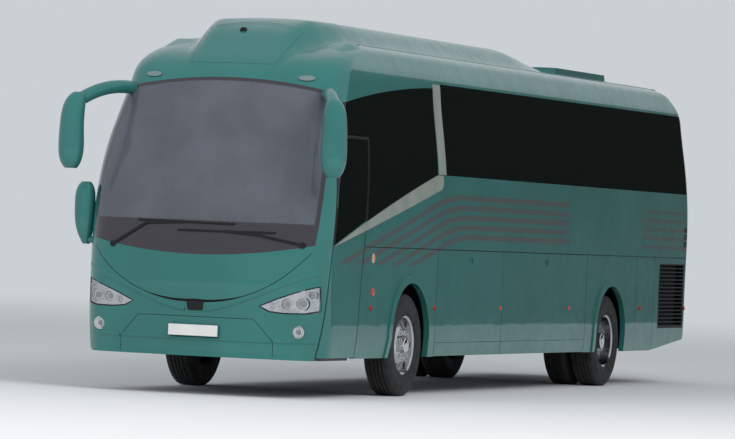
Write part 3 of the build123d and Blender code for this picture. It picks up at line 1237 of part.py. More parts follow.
with BuildPart() as luggage_racks:
    for side in (-1, 1):
        y_low, y_high = sorted((side * 780, side * OUT_Y))
        block(-6000, 4300, y_low, y_high, 2900, 2960)
    add(inside_body.part, mode=Mode.INTERSECT)

save(luggage_racks.part, "luggage_racks")

# Steering wheel on its column, right of the stairs
WHEEL_CENTRE = (5640, -700, 1690)
WHEEL_TILT = 35
WHEEL_RING_R, WHEEL_GRIP_R, WHEEL_HUB_R = 225, 14, 50

with BuildPart() as steering_wheel:
    face = Plane(origin=WHEEL_CENTRE, x_dir=(0, 1, 0), z_dir=(-sin(radians(WHEEL_TILT)), 0, cos(radians(WHEEL_TILT))))
    with Locations(face.location):
        Torus(WHEEL_RING_R, WHEEL_GRIP_R)
        Cylinder(WHEEL_HUB_R, 40)
        Box(2 * WHEEL_RING_R, 40, 12)
        Box(40, 2 * WHEEL_RING_R, 12)
    rod(face, WHEEL_CENTRE, -330, 30)
    add(dashboard.part, mode=Mode.SUBTRACT)

save(steering_wheel.part, "steering_wheel")
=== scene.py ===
"""Touring coach: materials, roof pod, seams, wheels, seats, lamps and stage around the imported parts."""
import math

import bmesh
import bpy
from mathutils import Matrix, Vector
from mathutils.bvhtree import BVHTree


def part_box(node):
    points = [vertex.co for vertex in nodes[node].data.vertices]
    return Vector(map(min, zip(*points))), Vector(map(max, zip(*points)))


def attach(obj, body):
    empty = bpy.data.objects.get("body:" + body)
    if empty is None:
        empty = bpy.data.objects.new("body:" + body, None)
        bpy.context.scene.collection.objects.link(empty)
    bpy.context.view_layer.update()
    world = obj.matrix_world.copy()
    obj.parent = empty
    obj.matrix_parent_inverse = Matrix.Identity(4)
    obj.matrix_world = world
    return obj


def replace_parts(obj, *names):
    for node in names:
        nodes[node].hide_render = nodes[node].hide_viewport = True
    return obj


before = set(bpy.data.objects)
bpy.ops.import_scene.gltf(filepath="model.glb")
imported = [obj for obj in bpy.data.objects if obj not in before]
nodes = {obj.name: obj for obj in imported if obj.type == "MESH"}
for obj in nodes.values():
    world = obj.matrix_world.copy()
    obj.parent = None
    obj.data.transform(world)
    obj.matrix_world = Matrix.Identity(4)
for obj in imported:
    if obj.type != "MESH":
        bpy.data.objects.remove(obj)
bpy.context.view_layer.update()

# Driving sizes, in metres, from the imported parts
TYRE_LOW, TYRE_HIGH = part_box("left_front_tyre")
WHEEL_R = (TYRE_HIGH.z - TYRE_LOW.z) / 2
TYRE_HALF = (TYRE_HIGH.y - TYRE_LOW.y) / 2
FRONT_AXLE_X = (TYRE_LOW.x + TYRE_HIGH.x) / 2
FRONT_WHEEL_Y = (TYRE_LOW.y + TYRE_HIGH.y) / 2
TWIN_LOW, TWIN_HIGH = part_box("left_rear_tyres")
REAR_AXLE_X = (TWIN_LOW.x + TWIN_HIGH.x) / 2
REAR_OUTER_Y = TWIN_HIGH.y - TYRE_HALF
REAR_INNER_Y = TWIN_LOW.y + TYRE_HALF
BELT_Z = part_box("left_upper_side")[0].z
MASK_SEAM_X, DOOR_REAR_X, REAR_SEAM_X, EDGE_LEAN = 6.136, 5.27, -6.29, 0.125
RIM_R = 0.288

# Camera solved from the photograph: place, view direction and roll
CAMERA_PLACE = Vector((49.18, 17.366, 1.615))
CAMERA_YAW, CAMERA_PITCH, CAMERA_ROLL = (math.radians(a) for a in (200.0435, 0.2035, 2.4099))
CAMERA_LENS, CAMERA_SENSOR, CAMERA_REACH = 231.95, 36.0, 400

# Livery: five bands from the front sweep to the middle, five thinner ones at the rear
BAND_COUNT, BAND_SOFT, BAND_END_SOFT, BAND_FOOT_SOFT = 5, 0.003, 0.002, 0.01
BAND_TOP_Z, BAND_PITCH, BAND_HALF = 2.058, 0.1025, 0.030
BAND_REAR_X = -1.55
BAND_BEND_X, BAND_SHIFT = 2.1, 0.07
BAND_SLOPE = 0.23
BAND_FOOT_Z = 1.335
REAR_BAND_TOP_Z, REAR_BAND_PITCH, REAR_BAND_HALF = 2.045, 0.104, 0.021
REAR_BAND_FRONT_X, REAR_BAND_REAR_X = -4.42, -6.27
BEYOND = 9.0  # past every point of the coach

# Door window frame is black above this line: X, Z and slope
FRAME_LINE = (5.99, 1.505, -0.30)

# Windscreen border and the dark band at its foot
SCREEN_ARCS = [
    ((-1.160, 1.500), (0, 1.373), (1.160, 1.500)),
    ((1.160, 1.500), (1.172, 2.300), (1.055, 3.020)),
    ((1.055, 3.020), (0, 3.130), (-1.055, 3.020)),
    ((-1.055, 3.020), (-1.172, 2.300), (-1.160, 1.500)),
]
SCREEN_BORDER, SCREEN_BORDER_SOFT = 0.035, 0.004
SCREEN_BAND_Z, SCREEN_BAND_SOFT = 1.705, 0.006
SCREEN_HAZE, SCREEN_HAZE_DEEP = (0.125, 0.137, 0.165), (0.10, 0.11, 0.133)
SCREEN_BLACK, SCREEN_ALPHA = (0.02, 0.018, 0.023), 0.54

# Marker lamps are red below these heights and clear above them
MARKER_SPLIT_Z = (2.3, 2.4)
MARKER_RED, MARKER_CLEAR = (0.42, 0.035, 0.018), (0.13, 0.18, 0.18)


# ---------------------------------------------------------------- materials

class Graph:
    """Short calls for building one material's nodes."""

    def __init__(self, name, color=(0.5, 0.5, 0.5), rough=0.5, metal=0.0, **sockets):
        self.material = bpy.data.materials.new(name)
        self.material.use_nodes = True
        self.tree = self.material.node_tree
        self.shader = self.tree.nodes["Principled BSDF"]
        self.set("Base Color", (*color, 1.0))
        self.set("Roughness", rough)
        self.set("Metallic", metal)
        for socket, value in sockets.items():
            self.set(socket.replace("_", " "), value)
        self.place = None

    def set(self, socket, value):
        self.shader.inputs[socket].default_value = value

    def put(self, target, value):
        """Link an output, or set a number."""
        if isinstance(value, bpy.types.NodeSocket):
            self.tree.links.new(value, target)
        else:
            target.default_value = value

    def add(self, kind, **settings):
        node = self.tree.nodes.new(kind)
        for key, value in settings.items():
            setattr(node, key, value)
        return node

    def math(self, operation, a, b=0.0, clamp=False):
        node = self.add("ShaderNodeMath", operation=operation, use_clamp=clamp)
        self.put(node.inputs[0], a)
        self.put(node.inputs[1], b)
        return node.outputs[0]

    def xyz(self):
        """X, Y and Z of the shaded point in the shared frame."""
        if self.place is None:
            self.coords = self.add("ShaderNodeTexCoord")
            split = self.add("ShaderNodeSeparateXYZ")
            self.tree.links.new(self.coords.outputs["Object"], split.inputs[0])
            self.place = split.outputs
        return self.place

    def noise(self, scale, detail=3.0, rough=0.5, stretch=None):
        self.xyz()
        node = self.add("ShaderNodeTexNoise")
        node.inputs["Scale"].default_value = scale
        node.inputs["Detail"].default_value = detail
        node.inputs["Roughness"].default_value = rough
        vector = self.coords.outputs["Object"]
        if stretch:
            mapping = self.add("ShaderNodeMapping")
            mapping.inputs["Scale"].default_value = stretch
            self.tree.links.new(vector, mapping.inputs["Vector"])
            vector = mapping.outputs["Vector"]
        self.tree.links.new(vector, node.inputs["Vector"])
        return node.outputs["Fac"]

    def ramp(self, value, low, high, out_low, out_high):
        node = self.add("ShaderNodeMapRange", interpolation_type="SMOOTHSTEP")
        self.put(node.inputs["Value"], value)
        limits = (("From Min", low), ("From Max", high), ("To Min", out_low), ("To Max", out_high))
        for name, number in limits:
            node.inputs[name].default_value = number
        return node.outputs["Result"]

    def mix(self, factor, a, b):
        """Mix of two colours, each a tuple or an output."""
        node = self.add("ShaderNodeMix", data_type="RGBA")
        self.put(node.inputs["Factor"], factor)
        for socket, value in ((node.inputs[6], a), (node.inputs[7], b)):
            self.put(socket, (*value, 1.0) if isinstance(value, tuple) else value)
        return node.outputs[2]

    def color(self, value):
        self.tree.links.new(value, self.shader.inputs["Base Color"])

    def rough(self, value):
        self.tree.links.new(value, self.shader.inputs["Roughness"])

    def bump(self, value, strength, distance):
        node = self.add("ShaderNodeBump")
        node.inputs["Strength"].default_value = strength
        node.inputs["Distance"].default_value = distance
        self.tree.links.new(value, node.inputs["Height"])
        self.tree.links.new(node.outputs["Normal"], self.shader.inputs["Normal"])

    def inside(self, value, low, high, soft):
        """1 where value lies between low and high, 0 outside, with a soft edge."""
        rise = self.ramp(value, low - soft, low + soft, 0.0, 1.0)
        fall = self.ramp(value, high - soft, high + soft, 1.0, 0.0)
        return self.math("MULTIPLY", rise, fall)


PAINT = (0.020, 0.150, 0.138)
PAINT_DEEP = (0.015, 0.122, 0.110)
PAINT_FLAKE = (0.04, 0.2, 0.18)
BAND_GREY = (0.076, 0.094, 0.096)
BLACK = (0.006, 0.006, 0.007)


def paint_base(name):
    """Metallic paint: flake, slight tone drift, orange peel and a clear coat."""
    g = Graph(name, PAINT, 0.38, 0.30, Coat_Weight=0.75, Coat_Roughness=0.04, Coat_IOR=1.45,
              Specular_IOR_Level=0.3)
    drift = g.ramp(g.noise(1.3, 2.0), 0.3, 0.7, 0.0, 1.0)
    flake = g.ramp(g.noise(900.0, 1.0, 0.8), 0.35, 0.7, 0.0, 0.6)
    tone = g.mix(drift, PAINT, PAINT_DEEP)
    tone = g.mix(flake, tone, PAINT_FLAKE)
    g.rough(g.ramp(g.noise(6.0, 4.0), 0.25, 0.75, 0.30, 0.40))
    g.bump(g.noise(140.0, 2.0), 0.04, 0.0006)
    return g, tone


def plain_paint():
    g, tone = paint_base("teal_paint")
    g.color(tone)
    return g.material


def band_paint(name="teal_paint_with_bands", dark_above=False):
    """Side paint with the bands of the livery. The door's paint turns black above the frame line."""
    g, tone = paint_base(name)
    x, _, z = g.xyz()
    total = 0.0
    for k in range(BAND_COUNT):
        past = g.math("SUBTRACT", x, BAND_BEND_X - BAND_SHIFT * k)
        near = g.math("MULTIPLY", past, 1.0, clamp=True)
        curve = g.math("MULTIPLY", g.math("MULTIPLY", near, near), BAND_SLOPE / 2)
        run = g.math("MULTIPLY", g.math("MAXIMUM", g.math("SUBTRACT", past, 1.0), 0.0), BAND_SLOPE)
        level = g.math("ADD", z, g.math("ADD", curve, run))
        middle = BAND_TOP_Z - BAND_PITCH * k
        total = g.math("ADD", total, g.inside(level, middle - BAND_HALF, middle + BAND_HALF, BAND_SOFT))
    front = g.math("MULTIPLY", total, g.inside(x, BAND_REAR_X, BEYOND, BAND_END_SOFT))
    front = g.math("MULTIPLY", front, g.inside(z, BAND_FOOT_Z, BEYOND, BAND_FOOT_SOFT))
    total = 0.0
    for k in range(BAND_COUNT):
        middle = REAR_BAND_TOP_Z - REAR_BAND_PITCH * k
        band = g.inside(z, middle - REAR_BAND_HALF, middle + REAR_BAND_HALF, BAND_SOFT)
        total = g.math("ADD", total, band)
    rear = g.math("MULTIPLY", total, g.inside(x, REAR_BAND_REAR_X, REAR_BAND_FRONT_X, BAND_END_SOFT))
    bands = g.math("ADD", front, rear, clamp=True)
    tone = g.mix(bands, tone, BAND_GREY)
    if dark_above:
        run = g.math("MULTIPLY", g.math("SUBTRACT", x, FRAME_LINE[0]), FRAME_LINE[2])
        above = g.math("SUBTRACT", z, g.math("ADD", run, FRAME_LINE[1]))
        tone = g.mix(g.ramp(above, -BAND_SOFT, BAND_SOFT, 0.0, 1.0), tone, BLACK)
    g.color(tone)
    return g.material


def simple(name, color, rough, metal=0.0, spread=0.12, grain=60.0, bump=0.0, stretch=None, **sockets):
    """Material with a slight drift of tone and roughness, and optional fine relief."""
    g = Graph(name, color, rough, metal, **sockets)
    darker = tuple(c * (1 - spread * 2) for c in color)
    g.color(g.mix(g.ramp(g.noise(grain / 8, 4.0, stretch=stretch), 0.3, 0.7, 0.0, 1.0), color, darker))
    drift = g.noise(grain / 4, 3.0, stretch=stretch)
    g.rough(g.ramp(drift, 0.25, 0.75, max(rough - 0.06, 0.02), rough + 0.08))
    if bump:
        g.bump(g.noise(grain * 4, 3.0, stretch=stretch), bump, 0.001)
    return g.material


def circle_through(a, b, c):
    """Centre and radius of the circle through three points in Y and Z."""
    (ax, ay), (bx, by), (cx, cy) = a, b, c
    d = 2 * (ax * (by - cy) + bx * (cy - ay) + cx * (ay - by))
    ux = ((ax**2 + ay**2) * (by - cy) + (bx**2 + by**2) * (cy - ay) + (cx**2 + cy**2) * (ay - by)) / d
    uy = ((ax**2 + ay**2) * (cx - bx) + (bx**2 + by**2) * (ax - cx) + (cx**2 + cy**2) * (bx - ax)) / d
    return (ux, uy), math.hypot(ax - ux, ay - uy)


def screen_glass():
    """Hazy laminated glass with its dark border and the dark band at its foot."""
    g = Graph("windscreen_glass", (0.11, 0.12, 0.14), 0.04, Coat_Weight=0.6, Coat_Roughness=0.02)
    _, y, z = g.xyz()
    edge = 1.0
    for arc in SCREEN_ARCS:
        (cy, cz), radius = circle_through(*arc)
        dy, dz = g.math("SUBTRACT", y, cy), g.math("SUBTRACT", z, cz)
        far = g.math("SQRT", g.math("ADD", g.math("MULTIPLY", dy, dy), g.math("MULTIPLY", dz, dz)))
        edge = g.math("MINIMUM", edge, g.math("SUBTRACT", radius, far))
    border = g.ramp(edge, SCREEN_BORDER - SCREEN_BORDER_SOFT, SCREEN_BORDER + SCREEN_BORDER_SOFT, 1.0, 0.0)
    foot = g.ramp(z, SCREEN_BAND_Z - SCREEN_BAND_SOFT, SCREEN_BAND_Z + SCREEN_BAND_SOFT, 1.0, 0.0)
    dark = g.math("MAXIMUM", border, foot)
    haze = g.mix(g.ramp(g.noise(2.2, 3.0), 0.3, 0.7, 0.0, 1.0), SCREEN_HAZE, SCREEN_HAZE_DEEP)
    g.color(g.mix(dark, haze, SCREEN_BLACK))
    g.tree.links.new(g.ramp(dark, 0.0, 1.0, SCREEN_ALPHA, 1.0), g.shader.inputs["Alpha"])
    return g.material


def side_glass(name, alpha):
    g = Graph(name, (0.004, 0.006, 0.005), 0.02, Specular_IOR_Level=0.4, Alpha=alpha)
    g.rough(g.ramp(g.noise(3.0, 2.0), 0.3, 0.7, 0.012, 0.03))
    g.bump(g.noise(0.9, 2.0), 0.03, 0.01)
    return g.material


def lamp_glass(name, color, alpha):
    g = Graph(name, color, 0.03, Coat_Weight=0.5, Alpha=alpha)
    g.rough(g.ramp(g.noise(20.0), 0.3, 0.7, 0.02, 0.06))
    return g.material


def marker_glass():
    """Red side lamps, and the clear grey lamps over the windscreen."""
    g = Graph("marker_lamp_glass", (0.45, 0.04, 0.02), 0.04, Coat_Weight=0.5)
    _, _, z = g.xyz()
    g.color(g.mix(g.ramp(z, *MARKER_SPLIT_Z, 0.0, 1.0), MARKER_RED, MARKER_CLEAR))
    return g.material


def woven(name, color, accent):
    """Seat cloth: fine weave with a scatter of small flecks."""
    g = Graph(name, color, 0.9, Sheen_Weight=0.4)
    weave = g.noise(420.0, 2.0, stretch=(1.0, 3.0, 1.0))
    flecks = g.ramp(g.noise(26.0, 4.0, 0.7), 0.52, 0.62, 0.0, 1.0)
    g.color(g.mix(flecks, g.mix(weave, color, tuple(c * 0.5 for c in color)), accent))
    g.bump(weave, 0.5, 0.0012)
    return g.material


MATERIALS = {
    "paint": plain_paint(),
    "bands": band_paint(),
    "door_paint": band_paint("teal_paint_door", True),
    "screen": screen_glass(),
    "side_glass": side_glass("side_window_glass", 0.93),
    "lamp_glass": lamp_glass("clear_lamp_glass", (0.50, 0.52, 0.54), 0.10),
    "dome_glass": lamp_glass("lamp_dome_glass", (0.20, 0.21, 0.22), 0.75),
    "lamp_red": lamp_glass("red_lamp_glass", (0.42, 0.012, 0.01), 0.95),
    "lamp_amber": lamp_glass("amber_lamp_glass", (0.62, 0.16, 0.02), 0.95),
    "lamp_orange": marker_glass(),
    "chrome": simple("bright_chrome", (0.78, 0.79, 0.8), 0.06, 1.0, 0.04, 30.0),
    "polished": simple("polished_alloy", (0.62, 0.63, 0.64), 0.16, 1.0, 0.1, 90.0, 0.05),
    "flash": simple("satin_trim", (0.40, 0.45, 0.40), 0.34, 0.55, 0.08, 30.0),
    "reflector": simple("lamp_reflector", (0.62, 0.64, 0.66), 0.22, 1.0, 0.15, 60.0),
    # Black of the rubber seams and gaskets; the same black also draws the painted shadow gap at the roof
    # pod's foot and the painted shade along the skirt crease
    "rubber": simple("seam_rubber_and_painted_shade", BLACK, 0.6, 0.0, 0.15, 80.0, Specular_IOR_Level=0.2),
    "tyre": simple("tyre_rubber", (0.020, 0.020, 0.021), 0.72, 0.0, 0.25, 70.0, 0.25),
    "frame": simple("chassis_black", (0.018, 0.018, 0.018), 0.6, 0.0, 0.3, 40.0, 0.2),
    "iron": simple("axle_iron", (0.030, 0.029, 0.028), 0.65, 0.3, 0.3, 60.0, 0.35),
    "plastic": simple("black_plastic", (0.009, 0.009, 0.010), 0.45, 0.0, 0.15, 160.0, 0.12,
                      Specular_IOR_Level=0.3),
    "grille": simple("grille_black", (0.012, 0.016, 0.015), 0.55, 0.0, 0.2, 120.0, 0.1,
                     Specular_IOR_Level=0.3),
    "plate_white": simple("blank_white_plate", (0.62, 0.62, 0.60), 0.35, 0.0, 0.04, 60.0),
    "floor": simple("floor_vinyl", (0.11, 0.11, 0.12), 0.6, 0.0, 0.2, 300.0, 0.2),
    "interior": simple("interior_trim", (0.22, 0.22, 0.23), 0.7, 0.0, 0.1, 260.0, 0.25),
    "cloth": woven("seat_cloth", (0.05, 0.07, 0.13), (0.16, 0.09, 0.05)),
    "mirror": simple("mirror_face", (0.85, 0.86, 0.87), 0.02, 1.0, 0.02, 10.0),
}

LUGGAGE = [f"{side}_{end}_luggage" for side in ("left", "right") for end in ("front", "rear")]
LUGGAGE_DOORS = [f"{name}_door" for name in LUGGAGE]

NODE_MATERIALS = {
    "paint": ["front_mask", "front_flap", "front_bumper", "front_roof_cap", "roof", "rear_wall",
              "rear_bumper", "mirror_housings", "roof_pod", "roof_hatch", "engine_lid"],
    "bands": ["left_upper_side", "right_upper_side", "left_lower_side", "right_lower_side", *LUGGAGE_DOORS],
    "door_paint": ["entry_door"],
    "screen": ["windscreen"],
    "side_glass": ["left_side_glass", "right_side_glass", "rear_window", "entry_door_glass"],
    "lamp_glass": ["headlamp_lenses"],
    "reflector": ["headlamp_bowls"],
    "plate_white": ["number_plates"],
    "flash": ["bright_trim", "entry_door_trim"],
    "grille": ["side_grilles"],
    "lamp_orange": ["marker_lamps"],
    "lamp_red": ["tail_lamps"],
    "plastic": ["wipers", "steering_wheel", "entry_door_arms", *(f"{name}_arms" for name in LUGGAGE)],
    "frame": ["underframe"],
    "floor": ["cabin_floor"],
    "interior": ["dashboard", "luggage_racks"],
    "cloth": ["seats"],
    "iron": ["front_axle", "rear_axle", "engine", "left_knuckle", "right_knuckle"],
    "polished": ["left_front_rim", "right_front_rim", "left_rear_rims", "right_rear_rims"],
    "tyre": ["left_front_tyre", "right_front_tyre", "left_rear_tyres", "right_rear_tyres"],
    "mirror": ["mirror_glasses"],
}


def dress(obj, key):
    obj.data.materials.clear()
    obj.data.materials.append(MATERIALS[key])


for key, names in NODE_MATERIALS.items():
    for name in names:
        dress(nodes[name], key)
for name, width in (("roof_hatch", 0.02), ("dashboard", 0.02), ("number_plates", 0.001)):
    bevel = nodes[name].modifiers.new("rounded_edges", "BEVEL")
    bevel.width, bevel.segments, bevel.angle_limit = width, 3, math.radians(25)


# ---------------------------------------------------------------- surfaces to lay things on

def surface(*names):
    """Search tree of the CAD faces of some nodes."""
    points, faces = [], []
    for name in names:
        mesh = nodes[name].data
        start = len(points)
        points += [v.co.copy() for v in mesh.vertices]
        faces += [[start + i for i in p.vertices] for p in mesh.polygons]
    return BVHTree.FromPolygons(points, faces)


FRONT = surface("front_mask", "front_flap", "front_bumper", "windscreen", "headlamp_lenses",
                "front_roof_cap")
REAR = surface("rear_wall", "engine_lid", "rear_bumper", "rear_window", "tail_lamps")
SIDES = surface("left_upper_side", "right_upper_side", "left_lower_side", "right_lower_side",
                "left_side_glass", "right_side_glass", *LUGGAGE_DOORS, "entry_door", "entry_door_glass",
                "front_mask", "side_grilles", "rear_wall", "front_roof_cap", "roof")
OUTSIDE_X, OUTSIDE_Y, OUTSIDE_Z = 8, 3, 6  # where rays start, clear of the coach


def cast(tree, start, way):
    """Point and normal where a ray first meets a surface, or None twice."""
    return tree.ray_cast(Vector(start), Vector(way))[:2]


def on_front(y, z):
    return cast(FRONT, (OUTSIDE_X, y, z), (-1, 0, 0))


def on_rear(y, z):
    return cast(REAR, (-OUTSIDE_X, y, z), (1, 0, 0))


def on_side(x, z, side):
    return cast(SIDES, (x, side * OUTSIDE_Y, z), (0, -side, 0))


def arc(a, b, c, count):
    """Points along the arc from a over b to c."""
    (u, v), radius = circle_through(a, b, c)
    start, middle, end = (math.atan2(p[1] - v, p[0] - u) for p in (a, b, c))
    turn = (end - start) % (2 * math.pi)
    if (middle - start) % (2 * math.pi) > turn:
        turn -= 2 * math.pi
    return [(u + radius * math.cos(start + turn * i / count), v + radius * math.sin(start + turn * i / count))
            for i in range(count + 1)]


def dense(points, step=0.04):
    """Points of a broken line, set closer together."""
    out = [points[0]]
    for a, b in zip(points, points[1:]):
        length = math.dist(a, b)
        count = max(1, round(length / step))
        out += [tuple(p + (q - p) * i / count for p, q in zip(a, b)) for i in range(1, count + 1)]
    return out


def finish_mesh(obj, key, body, smooth=True):
    """Material, shading and the body it moves with."""
    dress(obj, key)
    if smooth:
        for p in obj.data.polygons:
            p.use_smooth = True
    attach(obj, body)
    return obj


def new_object(name, points, faces):
    mesh = bpy.data.meshes.new(name)
    mesh.from_pydata([tuple(p) for p in points], [], faces)
    mesh.validate()
    obj = bpy.data.objects.new(name, mesh)
    bpy.context.scene.collection.objects.link(obj)
    return obj


SUNK = 0.001
# Section of a strip: way across, height, and share of the rise that the strip stands proud
STRIP_SECTION = ((-1, -SUNK, 0), (-0.62, 0, 0.75), (0, 0, 1), (0.62, 0, 0.75), (1, -SUNK, 0))


def strip(name, places, width, key, body, closed=False, proud=0.0006):
    """Low moulding along places, each a point and its normal. Width may be a function of the way along."""
    places = [p for p in places if p[0] is not None]
    points, faces = [], []
    count = len(places)
    for i, (point, normal) in enumerate(places):
        before = places[i - 1][0] if i or closed else point
        after = places[(i + 1) % count][0] if i + 1 < count or closed else point
        wide = width(i / (count - 1)) if callable(width) else width
        lift = normal.normalized()
        across = (after - before).normalized().cross(lift).normalized() * wide / 2
        for place, height, share in STRIP_SECTION:
            points.append(point + across * place + lift * (height + proud * share))
    row = len(STRIP_SECTION)
    for i in range(count if closed else count - 1):
        a, b = row * i, row * ((i + 1) % count)
        faces += [(a + j, b + j, b + j + 1, a + j + 1) for j in range(row - 1)]
    return finish_mesh(new_object(name, points, faces), key, body)


def settle(obj, sharp=None):
    """Turn the normals of a mesh outward, and mark the edges that are sharper than an angle."""
    shape = bmesh.new()
    shape.from_mesh(obj.data)
    bmesh.ops.recalc_face_normals(shape, faces=shape.faces)
    if sharp is not None:
        for edge in shape.edges:
            if len(edge.link_faces) == 2 and edge.calc_face_angle(0) > math.radians(sharp):
                edge.smooth = False
    shape.to_mesh(obj.data)
    shape.free()


PATCH_SUNK, PATCH_RIM, PATCH_INSET = 0.002, 0.8, 0.92


def patch(name, places, key, body, proud):
    """Small flat piece with a sunk edge, over an outline of points and normals."""
    places = [p for p in places if p[0] is not None]
    count = len(places)
    normal = sum((p[1] for p in places), Vector()).normalized()
    middle = sum((p[0] for p in places), Vector()) / count
    points = [p[0] - normal * PATCH_SUNK for p in places]
    points += [p[0] + normal * proud * PATCH_RIM for p in places]
    points += [middle + (p[0] - middle) * PATCH_INSET + normal * proud for p in places]
    faces = []
    for ring in (0, count):
        faces += [(ring + i, ring + (i + 1) % count, ring + count + (i + 1) % count, ring + count + i)
                  for i in range(count)]
    faces.append(tuple(2 * count + i for i in range(count)))
    obj = new_object(name, points, faces)
    settle(obj)
    return finish_mesh(obj, key, body)


def turned(profile, centre, axis, outward=1, steps=48, closed=False, bend=None):
    """Points and faces of a section of radii and offsets, turned about an axis through centre."""
    points, faces = [], []
    count = len(profile)
    for i in range(steps):
        angle = 2 * math.pi * i / steps
        for j, (radius, offset) in enumerate(profile):
            if bend:
                radius, offset = bend(i, j, radius, offset)
            u, v, w = radius * math.cos(angle), radius * math.sin(angle), offset * outward
            points.append(centre + (Vector((u, w, v)) if axis == "Y" else Vector((w, u, v))))
    rows = count if closed else count - 1
    for i in range(steps):
        a, b = i * count, (i + 1) % steps * count
        for j in range(rows):
            k = (j + 1) % count
            faces.append((a + j, a + k, b + k, b + j))
    if not closed:
        for j in (0, count - 1):
            if profile[j][0] < 1e-6:
                continue
            faces.append(tuple(i * count + j for i in range(steps)))
    return points, faces


def scaled(section, radius, offset=0.0):
    """Section of a turned piece from shares of its radius and steps from its offset."""
    return [(radius * share, offset + step) for share, step in section]


def pillow(centre, size, lean=0.0, soft=4.0, grid=6):
    """Rounded cushion: half sizes in X, Y and Z, leaning back about Y. A low power makes softer edges."""
    points, faces, seen = [], [], {}
    turn = Matrix.Rotation(-lean, 3, "Y")

    def place(x, y, z):
        key = (x, y, z)
        if key not in seen:
            v = Vector((x, y, z)) / grid * 2 - Vector((1, 1, 1))
            scale = 1.0 / (abs(v.x)**soft + abs(v.y)**soft + abs(v.z)**soft) ** (1 / soft)
            v = v * scale
            seen[key] = len(points)
            points.append(centre + turn @ Vector((v.x * size[0], v.y * size[1], v.z * size[2])))
        return seen[key]

    for i in range(grid):
        for j in range(grid):
            for side in (0, grid):
                for order in ((0, 1, 2), (1, 2, 0), (2, 0, 1)):
                    corners = []
                    for di, dj in ((0, 0), (1, 0), (1, 1), (0, 1)):
                        place_at = [0, 0, 0]
                        place_at[order[0]], place_at[order[1]], place_at[order[2]] = i + di, j + dj, side
                        corners.append(place(*place_at))
                    faces.append(tuple(corners if side else reversed(corners)))
    return points, faces


SKEW_UP = Vector((0.13, 0.21, 0.97))  # no bar runs along it


def rail(places, radius, sides=8):
    """Round bar through a line of places."""
    points, faces = [], []
    for i, place in enumerate(places):
        along = (places[min(i + 1, len(places) - 1)] - places[max(i - 1, 0)]).normalized()
        u = along.cross(SKEW_UP).normalized()
        v = along.cross(u)
        for k in range(sides):
            angle = 2 * math.pi * k / sides
            points.append(place + (u * math.cos(angle) + v * math.sin(angle)) * radius)
    for i in range(len(places) - 1):
        for k in range(sides):
            m = (k + 1) % sides
            faces.append((i * sides + k, i * sides + m, (i + 1) * sides + m, (i + 1) * sides + k))
    faces.append(tuple(range(sides)))
    faces.append(tuple((len(places) - 1) * sides + k for k in range(sides)))
    return points, faces


def piece(name, key, body, *chunks, smooth=True, sharp=40):
    """One object from several sets of points and faces."""
    points, faces = [], []
    for more_points, more_faces in chunks:
        start = len(points)
        points += more_points
        faces += [tuple(start + i for i in face) for face in more_faces]
    obj = new_object(name, points, faces)
    settle(obj, sharp)
    return finish_mesh(obj, key, body, smooth)


# ---------------------------------------------------------------- roof pod

ROOF_SKIN, POD_SOLID = surface("roof", "front_roof_cap"), surface("roof_pod")
# Grid over the pod: front end, cell, rows rearward and columns to each side
GRID_FRONT_X, CELL, ROWS, COLUMNS = 5.87, 0.03, 276, 35
# A ray that misses the roof takes the height of the row before it, or none ahead of CAP_END_X
CAP_END_X, NO_SKIN_Z, SKIN_LOW_Z = 5.5, -1.0, 2
SPREAD, REACH = 2.2, 6  # of the averaging, in cells
# Fairing from the deck's front tip down to the cap: its ends, height, half width, edge and greatest rise
DECK_TIP_X, FAIRING_X, DECK_Z, DECK_HALF = 4.86, 5.22, 3.538, 0.90
FAIRING_LEAD, FAIRING_EDGE, FAIRING_FADE, FAIRING_RISE = 0.16, 0.13, 0.12, 0.05
# Where the shell is lower than this rise its foot is sunk, the black strip of painted shadow gap runs along
# its edge or it has no face
FOOT_RISE, FOOT_SUNK, SHADOW_GAP_RISE, SHADOW_GAP_Y, FACE_RISE = 0.03, 0.014, 0.02, 0.3, 0.003
DOWN = Vector((0, 0, -1))


def soften(values):
    """Values of a row, each averaged with those near it."""
    weights = [math.exp(-0.5 * (k / SPREAD) ** 2) for k in range(-REACH, REACH + 1)]
    total, last = sum(weights), len(values) - 1
    return [sum(w * values[min(max(i + k - REACH, 0), last)] for k, w in enumerate(weights)) / total
            for i in range(len(values))]


